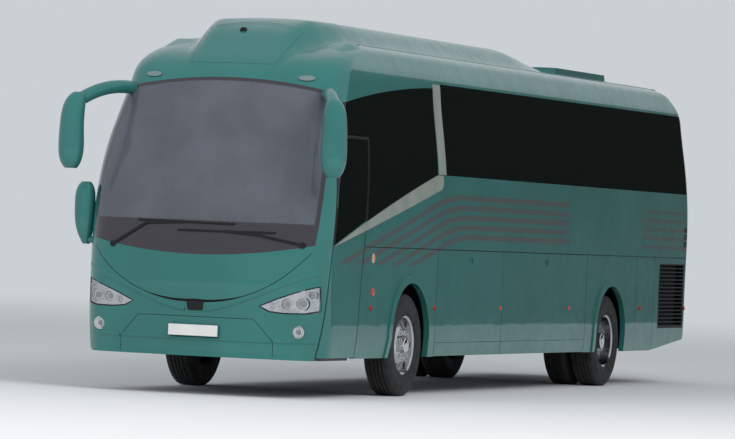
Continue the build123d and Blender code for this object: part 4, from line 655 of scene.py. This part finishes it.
def pod_shell():
    """The pod as one moulding: its height over the roof, eased at the foot and along each edge."""
    skin, rise = [], []
    for i in range(ROWS):
        x = GRID_FRONT_X - CELL * i
        spots = [Vector((x, CELL * j, OUTSIDE_Z)) for j in range(-COLUMNS, COLUMNS + 1)]
        found = [ROOF_SKIN.ray_cast(spot, DOWN)[0] for spot in spots]
        below = [hit.z if hit else (skin[-1][j][2] if x < CAP_END_X else NO_SKIN_Z)
                 for j, hit in enumerate(found)]
        above = [POD_SOLID.ray_cast(spot, DOWN)[0] for spot in spots]
        skin.append([(spot.x, spot.y, z) for spot, z in zip(spots, below)])
        rise.append(soften([max(top.z - z, 0.0) if top and z > 0 else 0.0 for top, z in zip(above, below)]))
    rise = [list(row) for row in zip(*[soften(column) for column in zip(*rise)])]
    foot = skin[round((GRID_FRONT_X - FAIRING_X) / CELL)]
    for row, heights in zip(skin, rise):
        for j, (x, y, z) in enumerate(row):
            if DECK_TIP_X - FAIRING_LEAD < x < FAIRING_X:
                share = max(x - DECK_TIP_X, 0.0) / (FAIRING_X - DECK_TIP_X)
                easing = min(max((DECK_HALF + FAIRING_EDGE - abs(y)) / FAIRING_FADE, 0.0), 1.0)
                proud = DECK_Z + share * (foot[j][2] - DECK_Z) - z
                heights[j] = max(heights[j], min(proud, FAIRING_RISE) * easing * easing * (3 - 2 * easing))
    points, faces, shadow_gap_line = [], [], {1: [], -1: []}
    wide = 2 * COLUMNS + 1
    for row, heights in zip(skin, rise):
        for (x, y, z), up in zip(row, heights):
            points.append(Vector((x, y, z + up - FOOT_SUNK * (1 - min(up / FOOT_RISE, 1.0)) ** 2)))
        # Outermost raised point on each side of the row: where the black strip of painted shadow gap runs
        for side in (1, -1):
            edge = [place for place, up in zip(row, heights) if up > SHADOW_GAP_RISE and place[1] * side > SHADOW_GAP_Y]
            if edge:
                x, y, z = max(edge, key=lambda q: abs(q[1]))
                shadow_gap_line[side].append((Vector((x, y + side * CELL * 0.6, z)), Vector((0, side * 0.5, 1))))
    for i in range(ROWS - 1):
        for j in range(wide - 1):
            corners = (i * wide + j, (i + 1) * wide + j, (i + 1) * wide + j + 1, i * wide + j + 1)
            raised = any(rise[k // wide][k % wide] > FACE_RISE for k in corners)
            if raised and all(points[k].z > SKIN_LOW_Z for k in corners):
                faces.append(corners)
    used = sorted({k for face in faces for k in face})
    place = {k: n for n, k in enumerate(used)}
    return [points[k] for k in used], [tuple(place[k] for k in face) for face in faces], shadow_gap_line


pod_points, pod_faces, pod_shadow_gap_line = pod_shell()
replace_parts(piece("roof_pod_shell", "paint", "coach_body", (pod_points, pod_faces), sharp=180), "roof_pod")
POD = BVHTree.FromPolygons(pod_points, pod_faces)


def on_pod(y, z):
    return cast(POD, (OUTSIDE_X, y, z), (-1, 0, 0))


SIDES_AND_TAGS = ((1, "left"), (-1, "right"))
SLOT_ARC = ((-0.52, 3.622), (0, 3.704), (0.52, 3.622))
POD_PANEL = [(-0.515, 3.615), (-0.455, 3.285), (-0.440, 3.272), (0.440, 3.272), (0.455, 3.285),
             (0.515, 3.615)]
POD_CAMERA = [(0.034, -0.04), (0.034, 0.012), (0.029, 0.018), (0.016, 0.018), (0.013, 0.012), (0, 0.011)]
SHADOW_GAP_ENDS = slice(14, -6, 3)

slot = [on_pod(y, z) for y, z in arc(*SLOT_ARC, 26)]
strip("roof_pod_slot", slot, lambda t: 0.012 + 0.052 * math.sin(math.pi * t), "rubber", "coach_body",
      proud=0.003)
panel = [on_pod(y, z) for y, z in dense(POD_PANEL, 0.03)]
strip("roof_pod_panel_seam", panel, 0.007, "rubber", "coach_body", proud=0.0008)
eye, _ = on_pod(-0.08, 3.618)
piece("roof_pod_camera", "plastic", "coach_body", turned(POD_CAMERA, eye, "X", 1, 28))
# Black strip along each side of the pod's foot: painted shadow gap between pod and roof, not a joint
for side, tag in SIDES_AND_TAGS:
    strip(f"{tag}_roof_pod_painted_shadow_gap", pod_shadow_gap_line[side][SHADOW_GAP_ENDS], 0.012, "rubber", "coach_body", proud=0.003)

# ---------------------------------------------------------------- seams and creases, with painted shade along the skirt crease

def front_seam(name, points, width=0.007, key="rubber", body="coach_body", proud=0.0008):
    strip(name, [on_front(y, z) for y, z in dense(points, 0.03)], width, key, body, proud=proud)


def side_dark_line(name, points, side, width=0.007, key="rubber", body="coach_body"):
    strip(name, [on_side(x, z, side) for x, z in dense(points, 0.04)], width, key, body)


def leaning(x, z):
    return x - EDGE_LEAN * (z - 0.4)


def leaning_seam(name, x, top, side):
    """Upright seam beside the leaning edge of the mask or the door."""
    side_dark_line(name, [(leaning(x, z), z) for z in (SKIRT_Z, top)], side, WIDE_SEAM)


SKIRT_Z, WIDE_SEAM, MASK_GAP, DOOR_GAP = 0.405, 0.013, 0.006, 0.012
CREASE, CREASE_PROUD = 0.04, 0.009
AIR_SLOT_HALF = 0.56
RIDGE = [(0.10, 0.838), (0.18, 0.846), (0.36, 0.893), (0.515, 0.950), (0.74, 1.040), (0.926, 1.122),
         (1.10, 1.195), (1.20, 1.228)]
CAMERA_COVER = [(-0.070, 0.918), (0.088, 0.918), (0.098, 0.906), (0.088, 0.835), (0.074, 0.826),
                (-0.056, 0.826), (-0.070, 0.835), (-0.080, 0.906)]
PANEL_SEAMS, LOW_SEAM_X = (2.895, -2.295, -4.25, -4.98), -4.3

smile = arc((0, 0.925), (0.679, 1.054), (1.139, 1.427), 24)
for side, tag in SIDES_AND_TAGS:
    front_seam(f"{tag}_smile_seam", [(side * y, z) for y, z in smile], 0.009)
    front_seam(f"{tag}_smile_ridge", [(side * y, z) for y, z in RIDGE], 0.05, "paint", proud=0.010)
    front_seam(f"{tag}_bumper_seam", [(side * 0.605, 0.765), (side * 0.798, 0.554), (side * 0.80, 0.405)])
    front_seam(f"{tag}_bumper_crease", [(side * 0.812, 0.552), (side * 1.12, 0.560), (side * 1.225, 0.566)],
               CREASE, "paint", proud=CREASE_PROUD)
half_slot = [(y, z) for y, z in smile if y < AIR_SLOT_HALF]
front_seam("air_slot", [(-y, z) for y, z in reversed(half_slot)] + [(y, z) for y, z in half_slot if y > 0],
           lambda t: 0.008 + 0.028 * math.sin(math.pi * t))
front_seam("bumper_top_seam", [(-0.605, 0.765), (0.605, 0.765)])
front_seam("bumper_front_crease", [(-0.785, 0.552), (0.785, 0.552)], CREASE, "paint", proud=CREASE_PROUD)
cover = [on_front(y, z) for y, z in dense(CAMERA_COVER + CAMERA_COVER[:1], 0.02)[:-1]]
patch("front_camera_cover", cover, "plastic", "coach_body", 0.006)

for side, tag in SIDES_AND_TAGS:
    front_end = leaning((DOOR_REAR_X if side > 0 else MASK_SEAM_X) - DOOR_GAP, BELT_Z)
    side_dark_line(f"{tag}_belt_seam", [(front_end, BELT_Z), (REAR_SEAM_X, BELT_Z)], side, 0.012)
    for i, x in enumerate(PANEL_SEAMS):
        side_dark_line(f"{tag}_panel_seam_{i}", [(x, 0.41 if x > LOW_SEAM_X else 0.44), (x, BELT_Z)], side, 0.006)
    side_dark_line(f"{tag}_tail_seam", [(REAR_SEAM_X, 0.56), (REAR_SEAM_X, 3.2)], side, 0.007)
    # Thin black line along the skirt crease: painted shade at the crease, not a joint
    side_dark_line(f"{tag}_skirt_crease_painted_shade", [(2.88, 0.545), (-2.27, 0.545)], side, 0.006)
    leaning_seam(f"{tag}_mask_seam", MASK_SEAM_X + MASK_GAP, 2.6, side)
leaning_seam("door_rear_seam", DOOR_REAR_X - DOOR_GAP, 2.59, 1)


def round_lamp(name, key, body, x, z, side, radius, height, stretch=1.0):
    """Low domed lens on the side of the body."""
    point, _ = on_side(x, z, side)
    section = [(radius, -0.004), (radius, height * 0.5), (radius * 0.9, height * 0.8),
               (radius * 0.6, height * 0.96), (0, height)]
    points, faces = turned(section, Vector((x, point.y, z)), "Y", side, 28)
    points = [Vector((p.x, p.y, z + (p.z - z) * stretch)) for p in points]
    piece(name, key, body, (points, faces))


DOOR_LAMP_Z, SIDE_LAMP, REPEATER, OVAL = 0.902, (4.83, 1.06), (4.85, 1.40), 1.5
VENT_Z, VENT_HALF, VENT_FRONT_X, VENT_REAR_X = (1.675, 1.765, 1.85), 0.03, -6.16, -6.27
for side, tag in SIDES_AND_TAGS:
    for body, x in ((f"{tag}_front_luggage_door", 0.79), (f"{tag}_rear_luggage_door", -1.64)):
        round_lamp(f"{body}_lamp", "lamp_orange", body, x, DOOR_LAMP_Z, side, 0.026, 0.013)
    round_lamp(f"{tag}_side_lamp", "lamp_orange", "coach_body", *SIDE_LAMP, side, 0.040, 0.016)
    round_lamp(f"{tag}_repeater", "chrome", "coach_body", *REPEATER, side, 0.034, 0.010, OVAL)
    round_lamp(f"{tag}_repeater_lens", "lamp_amber", "coach_body", *REPEATER, side, 0.024, 0.016, OVAL)
    for i, z in enumerate(VENT_Z):
        low, high = z - VENT_HALF, z + VENT_HALF
        corners = [(VENT_FRONT_X, low), (VENT_FRONT_X, high), (VENT_REAR_X, high), (VENT_REAR_X, low)]
        vent = [on_side(x, h, side) for x, h in corners]
        patch(f"{tag}_tail_vent_{i}", vent, "grille", "coach_body", 0.002)

# Folded plate behind each side grille, so that no daylight shows through it
CORE_Y, CORE_FOLD, CORE_FOLDS, CORE_PLATE = 1.16, 0.006, 120, 0.012
grille_low, grille_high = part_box("side_grilles")
for side, tag in SIDES_AND_TAGS:
    fins = []
    for i in range(CORE_FOLDS + 1):
        x = grille_low[0] + 0.02 + (grille_high[0] - grille_low[0] - 0.04) * i / CORE_FOLDS
        y = side * (CORE_Y + CORE_FOLD * (i % 2))
        fins += [(x, y, grille_low[2] - 0.03), (x, y, grille_high[2] + 0.02)]
    folds = [(2 * i, 2 * i + 2, 2 * i + 3, 2 * i + 1) for i in range(CORE_FOLDS)]
    core = piece(f"{tag}_radiator_core", "plastic", "coach_body", (fins, folds), smooth=False)
    backing = core.modifiers.new("plate", "SOLIDIFY")
    backing.thickness, backing.offset = CORE_PLATE, 0.0

# Channel section of the chassis rails in Y and Z, with a row of bolt heads on its web
RAIL = [(0.30, 0.62), (0.37, 0.62), (0.37, 0.632), (0.312, 0.632), (0.312, 1.378), (0.37, 1.378),
        (0.37, 1.39), (0.30, 1.39)]
RAIL_SPANS = (("front", 2.97, 4.46), ("rear", -4.18, -2.34))
BOLT, BOLT_Y, BOLT_Z = [(0.013, -0.004), (0.013, 0.008), (0, 0.008)], 0.312, 1.33
BOLT_START, BOLT_PITCH, BOLTS = 0.12, 0.18, 8
for tag, back, front in RAIL_SPANS:
    chunks = []
    for side in (1, -1):
        points = [(x, side * y, z) for x in (back, front) for y, z in RAIL]
        n = len(RAIL)
        faces = [(i, (i + 1) % n, (i + 1) % n + n, i + n) for i in range(n)]
        chunks.append((points, faces + [tuple(range(n)), tuple(range(n, 2 * n))]))
        for x in (back + BOLT_START + BOLT_PITCH * i for i in range(BOLTS)):
            chunks.append(turned(BOLT, Vector((x, side * BOLT_Y, BOLT_Z)), "Y", side, 6))
    piece(f"{tag}_chassis_rails", "frame", "coach_body", *chunks, sharp=30)

# ---------------------------------------------------------------- rear

LAMP_Y, TAIL_LAMPS = 1.085, ((1.010, 0.048), (1.130, 0.048), (1.250, 0.048), (1.370, 0.040))
LOUVRES, LOUVRE_Z, LOUVRE_PITCH, LOUVRE_HALF = 9, 1.12, 0.05, 0.62
HANDLE = ((-0.09, 0.97), (-0.09, 1.01), (0.09, 1.01), (0.09, 0.97))


def across_rear(start, end, z, step):
    """Places on the rear from one Y to another at a level."""
    return [on_rear(y, z) for y, _ in dense([(start, 0), (end, 0)], step)]


for side, tag in SIDES_AND_TAGS:
    rings = []
    for z, radius in TAIL_LAMPS:
        point, _ = on_rear(side * (LAMP_Y + radius + 0.006), z)
        section = [(radius + 0.010, 0.002), (radius + 0.009, -0.007), (radius + 0.003, -0.009),
                   (radius + 0.001, -0.003), (radius + 0.001, 0.006)]
        rings.append(turned(section, Vector((point.x, side * LAMP_Y, z)), "X", 1, 36))
    piece(f"{tag}_tail_lamp_bezels", "chrome", "coach_body", *rings)
    seam = across_rear(side * 0.92, side * 1.24, 0.9, 0.04)
    strip(f"{tag}_rear_bumper_seam", seam, 0.007, "rubber", "coach_body")
for i in range(LOUVRES):
    louvre = across_rear(-LOUVRE_HALF, LOUVRE_HALF, LOUVRE_Z + LOUVRE_PITCH * i, 0.06)
    strip(f"engine_lid_louvre_{i}", louvre, 0.034, "grille", "engine_lid", proud=0.008)
strip("rear_stop_lamp", across_rear(-0.25, 0.25, 3.13, 0.05), 0.036, "lamp_red", "coach_body", proud=0.008)
patch("engine_lid_handle", [on_rear(y, z) for y, z in HANDLE], "plastic", "engine_lid", 0.010)

# ---------------------------------------------------------------- wheels

GROOVE_R = WHEEL_R - 0.015
# Half the section of a tyre, from the bead over the side to the tread, as radii and offsets
TYRE_PROFILE = [
    (RIM_R - 0.003, -0.108), (0.303, -0.122), (0.312, -0.1295), (0.330, -0.133), (0.334, -0.1375),
    (0.342, -0.138), (0.346, -0.1355), (0.380, -0.1425), (0.410, -0.1465), (0.440, -0.145), (0.452, -0.1455),
    (0.456, -0.142), (0.478, -0.1375), (0.492, -0.130), (0.508, -0.122), (0.5185, -0.113),
    (WHEEL_R - 0.001, -0.104), (WHEEL_R, -0.070), (GROOVE_R, -0.067), (GROOVE_R, -0.059),
    (WHEEL_R, -0.056), (WHEEL_R, -0.026), (GROOVE_R, -0.023), (GROOVE_R, -0.015), (WHEEL_R, -0.012),
]
TYRE_PROFILE += [(radius, -offset) for radius, offset in reversed(TYRE_PROFILE)]
SHOULDER = [j for j, (radius, offset) in enumerate(TYRE_PROFILE)
            if radius > 0.505 and 0.10 < abs(offset) < 0.125]
ZIGZAG = [j for j, (radius, offset) in enumerate(TYRE_PROFILE) if radius > 0.5 and abs(offset) < 0.072]


def worn_in(i, j, radius, offset):
    """Shoulder notches and a slight zigzag of the tread grooves."""
    if j in SHOULDER and i % 3 == 0:
        radius -= 0.009
    if j in ZIGZAG:
        offset += 0.0025 if i // 2 % 2 else -0.0025
    return radius, offset


def tyre(name, body, node, *middles):
    """Tyres of one wheel body, without the flat end faces that turning leaves."""
    chunks = [turned(TYRE_PROFILE, Vector((x, y, WHEEL_R)), "Y", steps=144, bend=worn_in) for x, y in middles]
    for _, faces in chunks:
        faces[:] = [face for face in faces if len(face) == 4]
    obj = piece(name, "tyre", body, *chunks, sharp=32)
    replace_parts(obj, node)


NUTS = 10


def nuts(name, body, x, y, outward, radius, offset, length):
    """Ring of wheel nuts, each with its stud and washer."""
    chunks, top = [], offset + length
    for i in range(NUTS):
        angle = 2 * math.pi * (i + 0.5) / NUTS
        centre = Vector((x + radius * math.cos(angle), y, WHEEL_R + radius * math.sin(angle)))
        stud = [(0, top + 0.012), (0.0085, top + 0.012), (0.0085, top)]
        nut = [(0.0085, top), (0.0145, top), (0.0165, top - 0.003), (0.0165, offset + 0.008)]
        washer = [(0.0165, offset + 0.008), (0.022, offset + 0.007), (0.022, offset - 0.004)]
        for section, steps in ((stud, 10), (nut, 6), (washer, 16)):
            chunks.append(turned(section, centre, "Y", outward, steps))
    piece(name, "chrome", body, *chunks, sharp=30)


HUB_CAP = ((0, 0), (0.3, 0), (0.34, -0.004), (0.72, -0.005), (0.76, 0), (0.92, -0.001), (1, -0.008),
           (1, -0.02))


def hub_cap(name, body, x, y, outward, radius, offset):
    section = scaled(HUB_CAP, radius, offset)
    piece(name, "chrome", body, turned(section, Vector((x, y, WHEEL_R)), "Y", outward, 40), sharp=30)


def valve(name, body, x, y, outward, radius, offset, reach):
    start = Vector((x + radius, y + outward * offset, WHEEL_R))
    places = [start, start + Vector((-0.004, outward * reach * 0.6, 0)),
              start + Vector((-0.012, outward * reach, 0))]
    piece(name, "polished", body, rail(places, 0.005, 10))


for side, tag in SIDES_AND_TAGS:
    front, rear = f"{tag}_front_wheel", f"{tag}_rear_wheels"
    y = side * FRONT_WHEEL_Y
    tyre(f"{tag}_front_tread_tyre", front, f"{tag}_front_tyre", (FRONT_AXLE_X, y))
    nuts(f"{tag}_front_wheel_nuts", front, FRONT_AXLE_X, y, side, 0.1375, 0.102, 0.026)
    hub_cap(f"{tag}_front_hub_cap", front, FRONT_AXLE_X, y, side, 0.074, 0.1535)
    valve(f"{tag}_front_valve", front, FRONT_AXLE_X, y, side, 0.262, 0.033, 0.05)
    outer, inner = side * REAR_OUTER_Y, side * REAR_INNER_Y
    tyre(f"{tag}_rear_tread_tyres", rear, f"{tag}_rear_tyres", (REAR_AXLE_X, outer), (REAR_AXLE_X, inner))
    nuts(f"{tag}_rear_wheel_nuts", rear, REAR_AXLE_X, outer, side, 0.1500, -0.037, 0.030)
    hub_cap(f"{tag}_rear_hub_cap", rear, REAR_AXLE_X, outer, side, 0.088, 0.0985)
    valve(f"{tag}_rear_valve", rear, REAR_AXLE_X, outer, side, 0.262, -0.095, 0.06)

# ---------------------------------------------------------------- seats

SEAT_PITCH, SEAT_ROWS, FIRST_SEAT_X = 0.76, 13, 4.15
SEAT_MIDDLE_Y, SEAT_WIDTH = 0.7075, 0.42
SALOON_FLOOR_Z, CAB_FLOOR_Z = 1.465, 1.0
BACK_LEAN = math.atan2(0.22, 0.68)
REAR_BENCH_SEATS, REAR_BENCH_PITCH = 5, 0.44
DRIVER_X, DRIVER_Y = 5.08, -0.70
cushions, backs, heads, frames = [], [], [], []


def seat_place(x, y, z):
    """Cushion, back and head pad of one seat."""
    cushions.append(pillow(Vector((x + 0.27, y, z + 0.395)), (0.215, 0.205, 0.062), -0.06, 5.0))
    backs.append(pillow(Vector((x - 0.025, y, z + 0.72)), (0.055, 0.205, 0.335), BACK_LEAN, 5.0, 8))
    heads.append(pillow(Vector((x - 0.100, y, z + 1.045)), (0.045, 0.15, 0.080), BACK_LEAN, 4.0))


def bar(x0, y0, z0, x1, y1, z1, radius=0.017):
    frames.append(rail([Vector((x0, y0, z0)), Vector((x1, y1, z1))], radius, 8))


def pedestal(x, y_low, y_high, z):
    for y in (y_low, y_high):
        bar(x + 0.10, y, z, x + 0.10, y, z + 0.34)
        bar(x + 0.26, y, z, x + 0.26, y, z + 0.34)
        bar(x + 0.08, y, z + 0.335, x + 0.43, y, z + 0.345)
    bar(x + 0.10, y_low, z + 0.33, x + 0.10, y_high, z + 0.33)
    bar(x + 0.26, y_low, z + 0.33, x + 0.26, y_high, z + 0.33)


for row in range(SEAT_ROWS):
    x = FIRST_SEAT_X - row * SEAT_PITCH
    for side in (-1, 1):
        for shift in (-SEAT_WIDTH / 2, SEAT_WIDTH / 2):
            seat_place(x, side * SEAT_MIDDLE_Y + shift, SALOON_FLOOR_Z)
        pedestal(x, side * SEAT_MIDDLE_Y - 0.24, side * SEAT_MIDDLE_Y + 0.24, SALOON_FLOOR_Z)
        for y in (side * SEAT_MIDDLE_Y - 0.418, side * SEAT_MIDDLE_Y + 0.418):
            armrest = Vector((x + 0.19, y, SALOON_FLOOR_Z + 0.60))
            frames.append(pillow(armrest, (0.16, 0.02, 0.022), 0, 6.0, 4))
            bar(x + 0.04, y, SALOON_FLOOR_Z + 0.43, x + 0.06, y, SALOON_FLOOR_Z + 0.6, 0.014)
x = FIRST_SEAT_X - SEAT_ROWS * SEAT_PITCH - 0.1
for i in range(REAR_BENCH_SEATS):
    seat_place(x, (i - REAR_BENCH_SEATS // 2) * REAR_BENCH_PITCH, SALOON_FLOOR_Z)
pedestal(x, -0.95, 0.95, SALOON_FLOOR_Z)
seat_place(DRIVER_X, DRIVER_Y, CAB_FLOOR_Z)
for side in (-1, 1):
    wing = Vector((DRIVER_X + 0.01, DRIVER_Y + side * 0.2, CAB_FLOOR_Z + 0.62))
    backs.append(pillow(wing, (0.06, 0.035, 0.24), BACK_LEAN))
pedestal(DRIVER_X, -0.86, -0.54, CAB_FLOOR_Z)
cushion_piece = piece("seat_cushions", "cloth", "coach_body", *cushions, sharp=80)
back_piece = piece("seat_backs", "cloth", "coach_body", *backs, sharp=80)
head_piece = piece("seat_head_pads", "cloth", "coach_body", *heads, sharp=80)
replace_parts(cushion_piece, "seats")
piece("seat_frames", "plastic", "coach_body", *frames)

# ---------------------------------------------------------------- lamps

HEADLAMP = [(0.661, 0.893), (0.830, 0.968), (0.966, 1.020), (1.110, 1.072), (1.215, 1.105), (1.222, 0.865),
            (1.104, 0.836), (0.900, 0.832), (0.760, 0.845)]
# Lamp units behind the lens: Y, Z, radius and X
BOWLS = [(1.078, 0.932, 0.058, 6.250), (0.932, 0.926, 0.052, 6.288), (1.160, 1.022, 0.036, 6.180),
         (0.802, 0.900, 0.030, 6.316)]
FOG_Y, FOG_Z, FOG_R = 1.044, 0.657, 0.052
# Sections of lamp rings, in shares of the radius and steps forward
BEZEL = ((1.02, -0.006), (1.02, 0.007), (0.90, 0.010), (0.80, 0.003), (0.78, -0.008))
SURROUND = ((1.16, -0.010), (1.16, 0.004), (1.04, 0.004), (1.04, -0.010))
FOG_BEZEL = ((1.22, -0.020), (1.20, 0.004), (1.08, 0.009), (0.96, 0.003), (0.94, -0.012))
FOG_CORE = ((0.45, -0.004), (0.40, 0.004), (0.2, 0.007), (0, 0.008))


def projector(y, z, radius, x):
    """Bezel, surround and domed lens of one lamp unit, looking forward."""
    centre = Vector((x, y, z))
    bezel = turned(scaled(BEZEL, radius), centre, "X", 1, 40)
    surround = turned(scaled(SURROUND, radius), centre, "X", 1, 40)
    dome = turned([(radius * 0.62 * math.cos(a), -0.008 + radius * 0.30 * math.sin(a))
                   for a in (math.pi / 2 * k / 6 for k in range(6))] + [(0, -0.008 + radius * 0.30)],
                  centre, "X", 1, 32)
    return bezel, surround, dome


for side, tag in SIDES_AND_TAGS:
    bezels, surrounds, domes = zip(*(projector(side * y, z, radius, x) for y, z, radius, x in BOWLS))
    piece(f"{tag}_lamp_bezels", "chrome", "coach_body", *bezels)
    piece(f"{tag}_lamp_surrounds", "plastic", "coach_body", *surrounds)
    piece(f"{tag}_lamp_domes", "dome_glass", "coach_body", *domes)
    outline = [on_front(side * y, z) for y, z in dense(HEADLAMP + HEADLAMP[:1], 0.03)]
    strip(f"{tag}_headlamp_gasket", outline[:-1], 0.013, "rubber", "coach_body", closed=True, proud=0.001)
    centre = Vector((on_front(side * FOG_Y, FOG_Z)[0].x, side * FOG_Y, FOG_Z))
    ring = turned(scaled(FOG_BEZEL, FOG_R), centre, "X", 1, 40)
    piece(f"{tag}_fog_lamp_bezel", "chrome", "coach_body", ring)
    core = turned(scaled(FOG_CORE, FOG_R), centre, "X", 1, 24)
    piece(f"{tag}_fog_lamp_core", "dome_glass", "coach_body", core)

# ---------------------------------------------------------------- stage, lights and camera

FLOOR_HALF, FADE_START, FADE_END = 130, 14.0, 60.0
DARK_REAR_X, DARK_FRONT_X, DARK_Y, DARK_TOP = -60, -12, 14, 13


def stage_plane(name, corners, color):
    obj = new_object(name, corners, [(0, 1, 2, 3)])
    g = Graph(name, color, 0.9, Specular_IOR_Level=0.1)
    obj.data.materials.append(g.material)
    return obj, g


# Floor that fades into the sky with distance
corners = [(x * FLOOR_HALF, y * FLOOR_HALF, 0) for x, y in ((-1, -1), (1, -1), (1, 1), (-1, 1))]
_, pale = stage_plane("studio_floor", corners, (0.66, 0.67, 0.68))
fx, fy, _ = pale.xyz()
far = pale.math("SQRT", pale.math("ADD", pale.math("MULTIPLY", fx, fx), pale.math("MULTIPLY", fy, fy)))
pale.tree.links.new(pale.ramp(far, FADE_START, FADE_END, 1.0, 0.0), pale.shader.inputs["Alpha"])
# Dark plane that only the reflections of the left side see
flag, _ = stage_plane("studio_dark_side", [(DARK_REAR_X, DARK_Y, 0), (DARK_FRONT_X, DARK_Y, 0),
                                           (DARK_FRONT_X, DARK_Y, DARK_TOP), (DARK_REAR_X, DARK_Y, DARK_TOP)],
                      (0.02, 0.028, 0.025))
flag.visible_camera = flag.visible_transmission = flag.visible_shadow = flag.visible_diffuse = False


def light(name, place, target, size, power, color):
    """Area light that lights surfaces and makes no highlight."""
    data = bpy.data.lights.new(name, "AREA")
    data.shape = "RECTANGLE"
    data.size, data.size_y = size
    data.energy = power
    data.color = color
    obj = bpy.data.objects.new(name, data)
    bpy.context.scene.collection.objects.link(obj)
    obj.location = place
    obj.rotation_euler = (Vector(target) - Vector(place)).to_track_quat("-Z", "Y").to_euler()
    obj.visible_glossy = False


light("key_light", (16, 16, 15), (1, 0, 1.2), (12, 9), 3200, (1.0, 0.98, 0.95))
light("front_light", (24, -6, 9), (4, 0, 1.5), (9, 9), 1500, (0.96, 0.98, 1.0))

world = bpy.data.worlds.new("studio_world")
bpy.context.scene.world = world
world.use_nodes = True
sky = world.node_tree
back = sky.nodes["Background"]
back.inputs["Color"].default_value = (0.80, 0.84, 0.88, 1.0)
back.inputs["Strength"].default_value = 0.75

camera_data = bpy.data.cameras.new("camera")
camera_data.lens = CAMERA_LENS
camera_data.sensor_width = CAMERA_SENSOR
camera_data.clip_end = CAMERA_REACH
camera = bpy.data.objects.new("camera", camera_data)
bpy.context.scene.collection.objects.link(camera)
look = Vector((math.cos(CAMERA_YAW) * math.cos(CAMERA_PITCH),
               math.sin(CAMERA_YAW) * math.cos(CAMERA_PITCH), math.sin(CAMERA_PITCH)))
level = look.cross(Vector((0, 0, 1))).normalized()
over = level.cross(look)
right = level * math.cos(CAMERA_ROLL) + over * math.sin(CAMERA_ROLL)
over = right.cross(look)
camera.matrix_world = Matrix.Translation(CAMERA_PLACE) @ Matrix((right, over, -look)).transposed().to_4x4()
bpy.context.scene.camera = camera
bpy.context.scene.view_settings.view_transform = "Standard"
